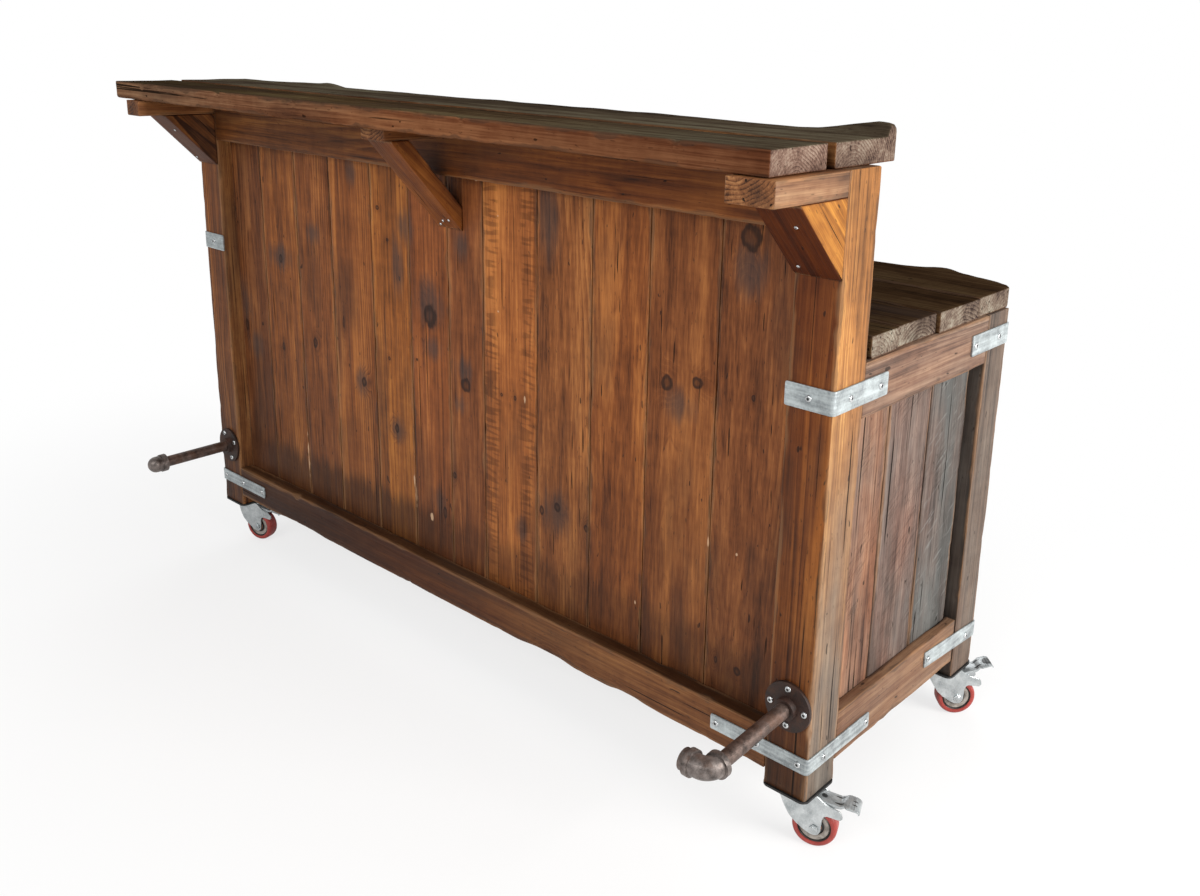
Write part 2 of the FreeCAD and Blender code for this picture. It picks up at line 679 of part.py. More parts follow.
def caster_pedal(lift):
    """Brake pedal on its pin, raised by the lift, in degrees."""
    half = fork_inner / 2 - pedal_side_gap
    step_x = pedal_knee + pedal_step
    top = [(pedal_start, pedal_start_z), (pedal_knee, pedal_knee_z), (step_x, pedal_knee_z + pedal_step)]
    top += [(pedal_tip, pedal_tip_z)]
    under = [(x, z - pedal_sheet) for x, z in reversed(top)]
    sheet = prism_y(-half, half, top + under)
    side = top + [(x, z - pedal_lip_h) for x, z in reversed(top)]
    lips = prism_y(-half, half, side)
    lips = lips.cut(prism_y(-half + pedal_sheet, half - pedal_sheet, side))
    pedal = sheet.fuse(lips)
    outer = fork_inner / 2 + fork_wall
    pin = Part.makeCylinder(pedal_pin_r, outer * 2, V(pedal_pin_x, -outer, pedal_pin_z), V(0, 1, 0))
    ear = Part.makeCylinder(pedal_pin_r * 2, half * 2, V(pedal_pin_x, -half, pedal_pin_z), V(0, 1, 0))
    ear = ear.cut(box(0, pedal_tip, -half + pedal_sheet, half - pedal_sheet, 0, caster_height))
    pedal = pedal.fuse(ear).fuse(pin).removeSplitter()
    pedal.rotate(V(pedal_pin_x, 0, pedal_pin_z), V(0, -1, 0), lift)
    return pedal


caster_places = (("fl", post_w / 2, post_d / 2, front_left_turn, front_pedal_raise),
                 ("fr", length - post_w / 2, post_d / 2, front_right_turn, front_pedal_raise),
                 ("rl", post_w / 2, depth - rear_post_d / 2, rear_left_turn, rear_pedal_raise),
                 ("rr", length - post_w / 2, depth - rear_post_d / 2, rear_right_turn, rear_pedal_raise))


def make_casters():
    plates = []
    screws = []
    for name, x, y, turn, lift in caster_places:
        place = FreeCAD.Placement(V(x, y, 0), FreeCAD.Rotation(V(0, 0, 1), turn))
        plates.append(caster_plate().translated(V(x, y, 0)))
        for sx in (-1, 1):
            for sy in (-1, 1):
                point = V(x + sx * (plate_w / 2 - plate_screw_in), y + sy * (rear_post_d / 2 - plate_screw_in),
                          caster_height - plate_t)
                screws.append(screw(point, V(0, 0, 1)))
        for kind, shape in (("fork", caster_fork()), ("core", caster_core()), ("tyre", caster_tyre()),
                            ("pedal", caster_pedal(lift))):
            shape.Placement = place.multiply(shape.Placement)
            nodes["caster_" + kind + "_" + name] = shape
    nodes["caster_plates"] = group(plates)
    nodes["caster_screws"] = group(screws)


# Parts that screws pass through
drilled = ("post_front_left", "post_front_right", "post_rear_left", "post_rear_right", "kick_rail", "front_planks",
           "side_rail_top_left", "side_rail_top_right", "side_rail_low_left", "side_rail_low_right",
           "side_planks_left", "side_planks_right", "knee_left", "knee_right", "arm_left", "arm_right",
           "middle_brace", "straps_upper_front", "straps_upper_rear", "straps_lower_front", "straps_lower_rear",
           "flange_left", "flange_right", "caster_plates")


def drill_parts():
    for name in drilled:
        pieces = []
        for solid in nodes[name].Solids:
            near = [d for d in drills if d.BoundBox.intersect(solid.BoundBox)]
            near = [d for d in near if d.common(solid).Volume > 0]
            if near:
                solid = solid.cut(near)
            pieces.extend(solid.Solids)
        nodes[name] = pieces[0] if len(pieces) == 1 else group(pieces)


make_posts()
make_front()
make_bar_top()
make_brackets()
make_sides()
make_back()
make_counter()
make_straps()
make_strap_screws()
make_bracket_screws()
make_foot_rail_brackets()
make_casters()
drill_parts()

# The shared frame has its origin at the middle of the whole box, on the floor
whole = group(nodes.values()).optimalBoundingBox(False, False)
shift = V(-(whole.XMin + whole.XMax) / 2, -(whole.YMin + whole.YMax) / 2, -whole.ZMin)
for name, shape in nodes.items():
    moved = shape.copy()
    moved.translate(shift)
    moved.exportStep(os.path.join("parts", name + ".step"))
    bad = "" if moved.isValid() else "  NOT VALID"
    print(name, len(moved.Solids), "solids", round(moved.Volume / 1000.0, 1), "cm3" + bad)

print("nodes", len(nodes))
print("box", [round(v, 2) for v in (whole.XLength, whole.YLength, whole.ZLength)])
print("shift", [round(v, 3) for v in (shift.x, shift.y, shift.z)])


def show(label, point):
    moved = point + shift
    print(label, [round(v / 1000.0, 6) for v in (moved.x, moved.y, moved.z)])


for name, x, y, turn, lift in caster_places:
    c = math.cos(math.radians(turn))
    s = math.sin(math.radians(turn))
    print("caster", name, "forward", [round(c, 6), round(s, 6), 0], "across", [round(-s, 6), round(c, 6), 0])
    show("  swivel", V(x, y, caster_height - plate_t - cup_h))
    show("  wheel", V(x + trail * c, y + trail * s, wheel_r))
    show("  pedal", V(x + pedal_pin_x * c, y + pedal_pin_x * s, pedal_pin_z))
mouth_run = elbow_arm + elbow_spigot
droop = math.radians(right_pipe_droop)
mouth_y = -elbow_reach * math.cos(droop)
mouth_z = right_flange_z - elbow_reach * math.sin(droop)
show("mouth_right", V(length - flange_offset - mouth_run, mouth_y, mouth_z))
show("bar_top_front", V(length / 2, -top_front_reach + top_front_w / 2, bar_height))
show("counter", V(length / 2, post_d + counter_front_gap + counter_w / 2, counter_height))
show("bay_low", V(inner_left + bay_clear, planks_back + bay_clear, side_rail_low_z + side_rail_low_h + bay_clear))
show("bay_high", V(inner_right - bay_clear, depth - side_rail_t - bay_clear, counter_under - bearer_h - bay_clear))
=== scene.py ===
# %% [markdown]
# # A bar table of reclaimed timber
# The table is a raised plank top on brackets, a boarded front, a lower counter behind and four casters.
# The CAD frame gives every place and size. This lesson gives each board its worn edges and its grain,
# and each metal piece its finish, so that the whole thing looks like the real one from all sides.

import json
import math

import bpy
import numpy as np
from mathutils import Matrix, Vector


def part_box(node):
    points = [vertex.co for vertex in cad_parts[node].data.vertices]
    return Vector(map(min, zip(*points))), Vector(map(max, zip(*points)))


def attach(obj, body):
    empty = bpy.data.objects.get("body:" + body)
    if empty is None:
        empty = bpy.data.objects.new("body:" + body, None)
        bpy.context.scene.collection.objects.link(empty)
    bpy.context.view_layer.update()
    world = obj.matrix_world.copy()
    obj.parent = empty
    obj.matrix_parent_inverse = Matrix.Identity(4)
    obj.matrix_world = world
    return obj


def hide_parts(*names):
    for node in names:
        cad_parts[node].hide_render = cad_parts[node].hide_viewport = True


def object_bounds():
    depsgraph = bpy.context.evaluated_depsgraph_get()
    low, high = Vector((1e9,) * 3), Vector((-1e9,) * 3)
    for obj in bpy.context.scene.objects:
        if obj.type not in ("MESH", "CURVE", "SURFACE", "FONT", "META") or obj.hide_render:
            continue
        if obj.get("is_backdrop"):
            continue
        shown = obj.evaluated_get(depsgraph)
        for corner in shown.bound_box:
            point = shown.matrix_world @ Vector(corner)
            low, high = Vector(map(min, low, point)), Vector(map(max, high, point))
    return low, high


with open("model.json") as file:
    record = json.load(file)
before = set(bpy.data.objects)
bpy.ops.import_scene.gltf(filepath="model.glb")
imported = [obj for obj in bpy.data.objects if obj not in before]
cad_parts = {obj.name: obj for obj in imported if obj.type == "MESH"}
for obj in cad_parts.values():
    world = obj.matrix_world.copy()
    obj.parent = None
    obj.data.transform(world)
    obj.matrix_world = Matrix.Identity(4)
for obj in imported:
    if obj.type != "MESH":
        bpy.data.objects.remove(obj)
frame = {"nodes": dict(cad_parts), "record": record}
cad_low, cad_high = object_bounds()
print("nodes", len(frame["nodes"]), "box", cad_low, cad_high)

# %% [markdown]
# ## Places
# A joiner measures from one corner. Here that corner is the foot of the left front post:
# X runs along the front, Y towards the staff side and Z up, in millimetres from the floor.

# %% Measuring corner
CORNER = np.array(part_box("post_front_left")[0]) * (1, 1, 0)


def place(x, y, z):
    """Bench millimetres to metres in the frame: the corner plus the distances divided by 1000."""
    return CORNER + np.array([x, y, z]) / 1000


def measured(point):
    """Metres in the frame to bench millimetres."""
    return (np.array(point) - CORNER) * 1000


def bench(node):
    """Lowest and highest corner of a CAD node in bench millimetres."""
    low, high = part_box(node)
    return measured(low), measured(high)


LENGTH = bench("post_front_right")[1][0]
DEPTH = bench("post_rear_right")[1][1]
print("corner", CORNER.round(4), "length", round(LENGTH, 1), "depth", round(DEPTH, 1))

# %% [markdown]
# ## Skins
# Every new piece is a skin stretched over rings of points, like the hoops of a barrel. The rings are whole
# arrays, the skin joins each ring to the next, and the first and last ring are closed with one face each,
# unless the rings themselves go round in a loop, as on a tyre.


# %% Rings to a mesh
def add_piece(name, mesh):
    """An object at the origin for a mesh, in the scene."""
    piece = bpy.data.objects.new(name, mesh)
    bpy.context.scene.collection.objects.link(piece)
    return piece


class Skin:
    """Closed surfaces made of rings of points, gathered into one object."""

    def __init__(self):
        self.points, self.faces, self.notes, self.count = [], [], {}, 0

    def add(self, rings, loop=False, **notes):
        """rings: rings by points by XYZ in bench millimetres. notes: values kept at each point for the finish.
        The faces look outward: the sum of (point - middle) . (round x along) decides which way they turn."""
        rows, cols = rings.shape[:2]
        ids = np.arange(rows * cols).reshape(rows, cols) + self.count
        along = (np.roll(rings, -1, 0) - rings)[:rows if loop else rows - 1]
        around = np.roll(rings, -1, 1) - rings
        normal = np.cross(around[:len(along)], along)
        away = rings[:len(along)] - rings.reshape(-1, 3).mean(0)
        if (away * normal).sum() < 0:
            ids = ids[:, ::-1]
        before, after = ids[:len(along)], np.roll(ids, -1, 0)[:len(along)]
        quads = np.stack([before, np.roll(before, -1, 1), np.roll(after, -1, 1), after], 2)
        self.faces += quads.reshape(-1, 4).tolist()
        if not loop:
            self.faces += [ids[0, ::-1].tolist(), ids[-1].tolist()]
        self.points.append(rings.reshape(-1, 3))
        for key, value in notes.items():
            value = np.asarray(value, float)
            tail = value.shape[2:]
            full = np.broadcast_to(value, (rows, cols) + tail).reshape((rows * cols,) + tail)
            self.notes.setdefault(key, []).append(full)
        self.count += rows * cols
        return self

    def finish(self, ending, material, slot, *nodes, body="table", split=50):
        """One object from all skins, in place of the CAD nodes. Its name is the first node's and the ending."""
        name = nodes[0] + ending
        mesh = bpy.data.meshes.new(name)
        mesh.from_pydata((np.concatenate(self.points) / 1000 + CORNER).tolist(), [], self.faces)
        mesh.polygons.foreach_set("use_smooth", np.ones(len(mesh.polygons), bool))
        kinds = {1: ("FLOAT", "value"), 3: ("FLOAT_VECTOR", "vector"), 4: ("FLOAT_COLOR", "color")}
        for key, parts in self.notes.items():
            value = np.concatenate(parts)
            kind, field = kinds[value.shape[1] if value.ndim > 1 else 1]
            mesh.attributes.new(key, kind, "POINT").data.foreach_set(field, value.ravel())
        mesh.materials.append(material)
        mesh.update()
        piece = add_piece(name, mesh)
        piece.modifiers.new("crisp", "EDGE_SPLIT").split_angle = math.radians(split)
        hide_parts(*nodes)
        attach(piece, body)
        print(name, len(self.points), "skins", len(mesh.vertices), "points")


print("skins ready")

# %% [markdown]
# ## Uneven lines
# Old timber is never quite straight. A row of random heights joined by cosine curves gives a line
# that wanders, and a grid of them a surface that does. Each board has its own seed, so it always comes
# out the same.


# %% Wandering lines and surfaces
def eased(count, knots):
    """For each of count samples: the knot before it, and its share of the way on, eased by half a wave."""
    t = np.linspace(0, knots - 1e-6, count)
    i = t.astype(int)
    return i, (1 - np.cos((t - i) * math.pi)) / 2


def wander(rng, count, knots):
    """Values between 0 and 1: random knots joined by half cosine waves, sampled count times."""
    knots = max(int(knots), 2)
    heights = rng.random(knots + 1)
    i, f = eased(count, knots)
    return heights[i] * (1 - f) + heights[i + 1] * f


def wander_sheet(rng, rows, cols, row_knots, col_knots):
    """A grid between 0 and 1 that closes round its columns: corner heights eased both ways."""
    row_knots = max(int(row_knots), 2)
    grid = rng.random((row_knots + 1, col_knots))
    grid = np.concatenate([grid, grid[:, :1]], axis=1)
    (r, rf), (c, cf) = eased(rows, row_knots), eased(cols, col_knots)
    grid = grid[:, c] * (1 - cf) + grid[:, c + 1] * cf
    return grid[r] * (1 - rf[:, None]) + grid[r + 1] * rf[:, None]


print("a wandering line", wander(np.random.default_rng(1), 6, 3).round(2))

# %% [markdown]
# ## A board
# A board is a section carried along its length. The section is a polygon whose corners are arcs,
# and the radius of each arc wanders along the board, because edges wear unevenly, with a dent here and
# there. One function makes them all: planks, posts, rails, and the three-sided knees under the bar.
# It also writes down, at each point, where that point was in the tree, for the grain to follow.


# %% Section with worn corners
def section_rings(polygon, radii, arc_steps, side_step):
    """Points and outward normals of rounded polygons, one ring per row of radii, and how far each point
    is from a corner. Each corner is an arc whose centre is the corner moved inwards along the sum of its
    two side normals, by radius / (1 + cosine between them); each side is a straight blend of two arc ends."""
    p = np.asarray(polygon, float)
    n = len(p)
    side = np.roll(p, -1, axis=0) - p
    normal = np.stack([side[:, 1], -side[:, 0]], axis=1)
    normal /= np.linalg.norm(normal, axis=1)[:, None]
    before = np.roll(normal, 1, axis=0)
    lean = (before + normal) / (1 + (before * normal).sum(1))[:, None]
    centre = p[None] - radii[:, :, None] * lean[None]
    a0 = np.arctan2(before[:, 1], before[:, 0])
    turn = (np.arctan2(normal[:, 1], normal[:, 0]) - a0) % (2 * math.pi)
    a = a0[:, None] + turn[:, None] * np.linspace(0, 1, arc_steps)[None]
    spoke = np.stack([np.cos(a), np.sin(a)], axis=2)
    arcs = centre[:, :, None, :] + radii[:, :, None, None] * spoke[None]
    points, normals, rims = [], [], []
    for k in range(n):
        long = np.linalg.norm(side[k])
        f = np.linspace(0, 1, max(int(long / side_step), 2) + 1)[1:-1][None, :, None]
        straight = arcs[:, k, -1:] * (1 - f) + arcs[:, (k + 1) % n, :1] * f
        points += [arcs[:, k], straight]
        normals += [np.broadcast_to(spoke[k], arcs[:, k].shape), np.broadcast_to(normal[k], straight.shape)]
        rims += [np.zeros(arc_steps), np.minimum(f, 1 - f)[0, :, 0] * long]
    return np.concatenate(points, 1), np.concatenate(normals, 1), np.concatenate(rims)


def dents(rng, u, length, per_metre):
    """Extra corner radius from knocks: each is a bell curve of its own place, width and depth."""
    count = int(per_metre * length / 1000)
    spot = rng.uniform(0, length, (count, 1))
    width = rng.uniform(4, 16, (count, 1))
    depth = rng.uniform(1, 5, (count, 1))
    return (depth * np.exp(-((u[None] - spot) / width) ** 2)).sum(0)


print("dents on one metre", dents(np.random.default_rng(2), np.linspace(0, 1000, 5), 1000, 6).round(2))

# %% [markdown]
# A board isn't one colour: its top is worn darker, its end drinks more oil and its sides go grey. So each
# face has a tone, a red, green and blue share that the finish multiplies with, and some change along an axis.
# On some boards the tones also paint light and shade: a face that the light from the right falls on is painted
# lighter, and a face in shade darker.


# %% Colour by the way a face looks
def graded(axis, stops, tones):
    """A tone that changes along an axis: each channel is interpolated between the stops."""
    tones = np.asarray(tones, float)
    return lambda p: np.stack([np.interp(p[:, axis], stops, channel) for channel in tones.T], 1)


def sides_only(share):
    """A share of weathering for the faces that look along X: it is whole from 45 degrees on, where twice
    the square of the normal's X is 1."""
    return lambda p, n: share(p) * np.minimum(2 * n[:, 0:1] ** 2, 1)


def tones(front, side=None, upper=None, under=None, end=None, grey=0.0):
    """Paint for a board: the squares of the normal's parts weigh the tones of front, side, upper and under
    face, and end grain takes its own. grey is the share of weathering, one number or one per place."""
    def value(tone, p):
        tone = front if tone is None else tone
        return tone(p) if callable(tone) else np.broadcast_to(np.asarray(tone, float), (len(p), 3))

    def paint(p, n, e):
        w = n ** 2
        up = w[:, 2:3] * (n[:, 2:3] > 0)
        colour = w[:, 1:2] * value(front, p) + w[:, 0:1] * value(side, p)
        colour = colour + up * value(upper, p) + (w[:, 2:3] - up) * value(under, p)
        if end is not None:
            colour = colour * (1 - e) + value(end, p) * e
        fade = grey(p, n) if callable(grey) else np.full((len(p), 1), float(grey))
        return np.concatenate([colour, fade], 1)

    return paint


print("halfway", graded(0, (0, 10), ((0, 0, 0), (1, 1, 1)))(np.array([[5.0, 0, 0]])))

# %% [markdown]
# Now the section runs along the board. Its rings crowd at both ends, where the edge is rounded, and a
# smaller ring closes each end.

# %% Carry the section along the board
END_ROUND = 1.5    # how far the end's edge is rounded
CAP_IN = 4.0       # width taken off the ring that closes the end
ARC_STEPS = 5
RIM_WIDTH = 5.0    # the rubbed rim fades over this width
HALF_TREE = 4000   # a board comes from anywhere along this much of the tree


class Timber(Skin):
    """Boards gathered into one object."""

    def board(self, axis, start, end, polygon, seed, paint, wear=2.5, wave=0.5, step=16, side_step=14,
              grain_axis=None, pith=None, slope=None, shape=None, knocks=5.0):
        """A rounded polygon in the two axes after axis, carried from start to end in millimetres.
        Each point is pushed inwards along its normal by a wandering sheet times wave. The grain runs
        round a heart that lies at pith, across and through the board, and leans by slope."""
        rng = np.random.default_rng(seed)
        length = abs(end - start)
        tip = np.array([0, 0.3, 1.0]) * END_ROUND
        u = np.linspace(END_ROUND, length - END_ROUND, max(int(length / step), 4))[1:-1]
        u = np.concatenate([tip, u, length - tip[::-1]])
        rows = len(u)
        inset = np.zeros(rows)
        inset[[0, -1]], inset[[1, -2]] = END_ROUND * 0.9, END_ROUND * 0.35
        radii = np.stack([wear * (0.45 + 1.3 * wander(rng, rows, length / 55) ** 2
                                  + 0.5 * wander(rng, rows, length / 17) ** 3)
                          + dents(rng, u, length, knocks) for _ in polygon], 1)
        points, normals, rim = section_rings(polygon, radii, ARC_STEPS, side_step)
        push = wander_sheet(rng, rows, points.shape[1], length / 70, 9) * wave + inset[:, None]
        points = points - normals * push[:, :, None]
        middle = points[[0, -1]].mean(1, keepdims=True)
        caps = middle + (points[[0, -1]] - middle) * (1 - CAP_IN / np.ptp(points[0], axis=0))
        points = np.concatenate([caps[:1], points, caps[1:]])
        grid = points.shape[:2]
        ends = np.zeros(grid)
        ends[[0, -1]] = 1

        def in_order(along, section):
            """The distances along the board and in its section as X, Y and Z."""
            return np.roll(np.concatenate([along[..., None], section], 2), axis, 2).reshape(-1, 3)

        flat = in_order(np.broadcast_to(np.pad(start + u, 1, "edge")[:, None], grid), points)
        look = in_order(ends, np.pad(normals, ((1, 1), (0, 0), (0, 0))))
        end_share = ends.copy()
        end_share[[1, -2]] = 0.6
        edge = np.exp(-rim / RIM_WIDTH) * (end_share < 0.5)
        if shape is not None:
            flat = shape(flat)
        size = np.ptp(flat, axis=0)
        run = np.eye(3)[axis] if grain_axis is None else np.array(grain_axis, float)
        run /= np.linalg.norm(run)
        others = [k for k in range(3) if k != int(np.argmax(np.abs(run)))]
        wide = max(others, key=lambda k: size[k])
        across = np.eye(3)[wide]
        across -= run * across.dot(run)
        across /= np.linalg.norm(across)
        thick = np.cross(run, across)
        if pith is None:
            pith = (size[wide] * rng.uniform(-0.4, 0.4), -size[others].min() * rng.uniform(0.5, 2.0))
        if slope is None:
            slope = rng.uniform(-0.04, 0.04)
        local = flat - (flat.min(0) + flat.max(0)) / 2
        along = local @ run
        grain = np.stack([along + rng.uniform(-HALF_TREE, HALF_TREE), local @ across - pith[0],
                          local @ thick - pith[1] + along * slope], 1) / 1000
        tint = paint(flat, look, end_share.reshape(-1, 1))
        return self.add(flat.reshape(grid + (3,)), grain=grain.reshape(grid + (3,)),
                        tone=tint.reshape(grid + (4,)), rim=edge, cut=end_share)

    def plank(self, low, high, axis, seed, paint, **more):
        """A board that fills the box between two bench corners, its length along axis."""
        b, c = (axis + 1) % 3, (axis + 2) % 3
        polygon = [(low[b], low[c]), (high[b], low[c]), (high[b], high[c]), (low[b], high[c])]
        return self.board(axis, low[axis], high[axis], polygon, seed, paint, **more)


print("boards ready")

# %% [markdown]
# ## Shader sums
# A material is a sum of patterns. The class below wraps one socket, so a pattern can be added to,
# multiplied with or taken from another in plain Python, and each sign becomes one Math node.


# %% One socket as a number
def signed(operation, flipped=False):
    """The method behind a sign: one Math node on this value and the other, flipped for 1 - value."""
    def method(self, other):
        pair = (other, self) if flipped else (self, other)
        return self.node("ShaderNodeMath", {"operation": operation}, dict(enumerate(pair)))

    return method


class Value:
    """One output of a shader node. Every method adds nodes to the same tree."""

    __add__ = __radd__ = signed("ADD")
    __mul__ = __rmul__ = signed("MULTIPLY")
    __sub__, __rsub__ = signed("SUBTRACT"), signed("SUBTRACT", flipped=True)
    __truediv__, __pow__ = signed("DIVIDE"), signed("POWER")

    def __init__(self, tree, socket=None):
        self.tree, self.socket = tree, socket

    def node(self, kind, settings=None, sockets=None, out=0):
        """Adds any node: its settings first, then the values or links of its sockets."""
        made = self.tree.nodes.new(kind)
        for key, value in (settings or {}).items():
            if key == "stops":
                ramp = made.color_ramp
                while len(ramp.elements) < len(value):
                    ramp.elements.new(0.5)
                for element, (spot, colour) in zip(ramp.elements, value):
                    element.position, element.color = spot, shell(colour)
            else:
                setattr(made, key, value)
        for key, value in (sockets or {}).items():
            target = made.inputs[key]
            if isinstance(value, Value):
                self.tree.links.new(value.socket, target)
            else:
                target.default_value = value
        return Value(self.tree, made.outputs[out])

    def math(self, operation, *others):
        """One Math node on this value and the others."""
        return self.node("ShaderNodeMath", {"operation": operation}, dict(enumerate((self,) + others)))

    def vector(self, operation, *others, out=0):
        """One Vector Math node on this place and the others."""
        sockets = dict(enumerate((self,) + others))
        return self.node("ShaderNodeVectorMath", {"operation": operation}, sockets, out)

    def output(self, which):
        """Another output of the same node."""
        return Value(self.tree, self.socket.node.outputs[which])

    def kept(self, name, out=2):
        """What the skins keep at each point: out 2 reads a number, 1 a place and 0 a colour."""
        return self.node("ShaderNodeAttribute", {"attribute_name": name}, out=out)

    def step(self, low, high):
        """0 below low, 1 above high and a smooth rise between."""
        return self.node("ShaderNodeMapRange", {"interpolation_type": "SMOOTHSTEP"},
                         {0: self, 1: low, 2: high, 3: 0.0, 4: 1.0})

    def stretch(self, x, y=None, z=None):
        """This place scaled along X, Y and Z. A number left out is the one before it."""
        y = x if y is None else y
        return self.vector("MULTIPLY", (x, y, y if z is None else z))

    def noise(self, detail=2.0, rough=0.5, out=0):
        """A cloud at this place: about 0.5, mostly between 0.3 and 0.7."""
        return self.node("ShaderNodeTexNoise", {}, {"Vector": self, "Scale": 1.0, "Detail": detail,
                                                    "Roughness": rough}, out)

    def cloud(self, scale, detail=2.0, rough=0.5):
        """The cloud of this place stretched by scale, less its middle, so about -0.2 to 0.2."""
        return self.stretch(*scale).noise(detail, rough) - 0.5

    def patch(self, scale, low, high, detail=1.0, rough=0.5):
        """Patches of that cloud: 0 where it is below low, 1 where it is above high."""
        return self.stretch(*scale).noise(detail, rough).step(low, high)

    def ramp(self, *stops):
        """A colour from stops, each a place on the ramp and its colour."""
        return self.node("ShaderNodeValToRGB", {"stops": stops}, {0: self})

    def cells(self):
        """Cells one unit wide: the distance to the middle of the cell here, and a random number of its own."""
        reach = self.node("ShaderNodeTexVoronoi", {"feature": "F1"}, {"Vector": self, "Scale": 1.0})
        return reach, reach.node("ShaderNodeSeparateColor", sockets={0: reach.output(1)})

    def mixed(self, how, share, first, second):
        """One Mix node for colours."""
        return self.node("ShaderNodeMix", {"data_type": "RGBA", "blend_type": how, "clamp_result": False},
                         {0: share, 6: first, 7: second}, 2)

    def blend(self, first, second):
        """first where this value is 0, second where it is 1."""
        return self.mixed("MIX", self, first, second)

    def over(self, other):
        """This colour times another."""
        return self.mixed("MULTIPLY", 1.0, self, other)

    def tinted(self, share, colour):
        """This colour with a share of a constant colour in place of it."""
        return share.blend(self, shell(colour))

    def parts(self):
        """The three numbers of this place."""
        first = self.node("ShaderNodeSeparateXYZ", sockets={0: self})
        return first, first.output(1), first.output(2)


print("one class with", len(vars(Value)), "names")

# %% [markdown]
# Every finish starts from a new material and the place on the object, and ends when its shader is dressed
# with a colour, a roughness and a relief.


# %% Start and end of a finish
def shell(colour):
    """A colour with its fourth number."""
    return (*colour, 1.0)


def least(fields):
    """The smallest of several values."""
    smallest, *rest = fields
    for field in rest:
        smallest = smallest.math("MINIMUM", field)
    return smallest


def new_material(name):
    """A material, its shader, and the place on the object as a first Value."""
    material = bpy.data.materials.new(name)
    material.use_nodes = True
    tree = material.node_tree
    shader = next(n for n in tree.nodes if n.type == "BSDF_PRINCIPLED")
    return material, shader, Value(tree).node("ShaderNodeTexCoord", out=3)


def dress(shader, colour, gloss, height, bump, depth):
    """Links colour, roughness, and a relief of this depth in metres to the shader."""
    normal = height.node("ShaderNodeBump", {}, {"Strength": bump, "Distance": depth, "Height": height})
    for key, value in (("Base Color", colour), ("Roughness", gloss), ("Normal", normal)):
        value.tree.links.new(value.socket, shader.inputs[key])


print("shader sums ready")

# %% [markdown]
# ## Oiled softwood
# A pine or spruce plank shows its years as rings round the tree's heart. The distance from that heart,
# bent a little by a slow cloud, gives pointed arches on the faces and arcs on the ends by itself, because
# the heart leans. Oil and years of use lie over it: broad brown streaks, smoky patches, brighter orange
# ones, fine fibres, specks, sparse knots, drying cracks and rubbed corners.

# %% Wood finish
DARK, WARM, BRIGHT = (0.042, 0.0115, 0.0035), (0.200, 0.061, 0.0155), (0.416, 0.156, 0.041)
SMOKE, KNOT, CRACK = (0.030, 0.020, 0.016), (0.020, 0.009, 0.006), (0.006, 0.004, 0.003)
SAWN = (0.24, 0.24, 0.23)
CLOUDS = {  # stretch along and across the grain, detail, roughness, and share of the colour
    "broad": ((0.9, 17.0), 2.0, 0.50, 0.95), "streak": ((1.3, 60.0), 3.0, 0.60, 0.60),
    "line": ((2.2, 170.0), 2.0, 0.60, 0.65), "fibre": ((8.0, 420.0), 2.0, 0.60, 0.50),
    "blotch": ((3.2, 11.0), 3.0, 0.55, 0.40), "smudge": ((15.0, 45.0), 3.0, 0.65, 0.50),
    "chatter": ((70.0, 9.0), 1.0, 0.50, 0.12)}
KNOT_CELLS = (5.5, 9.0)          # cells to a metre, along and across
HALO, HEART = (0.04, 0.34), (0.075, 0.11)  # where a knot's surroundings and its heart fade, in cells
BENT = 0.040                     # metres that the rings are bent sideways
LATE_FACE, LATE_END, EARLY = 0.75, 0.90, 0.14  # shares of late wood on faces and ends, and of early wood
SAW_LEAN = (0, 0.5, 0.5)         # radians between the saw's marks and the grain
WOOD_RELIEF = 0.0016


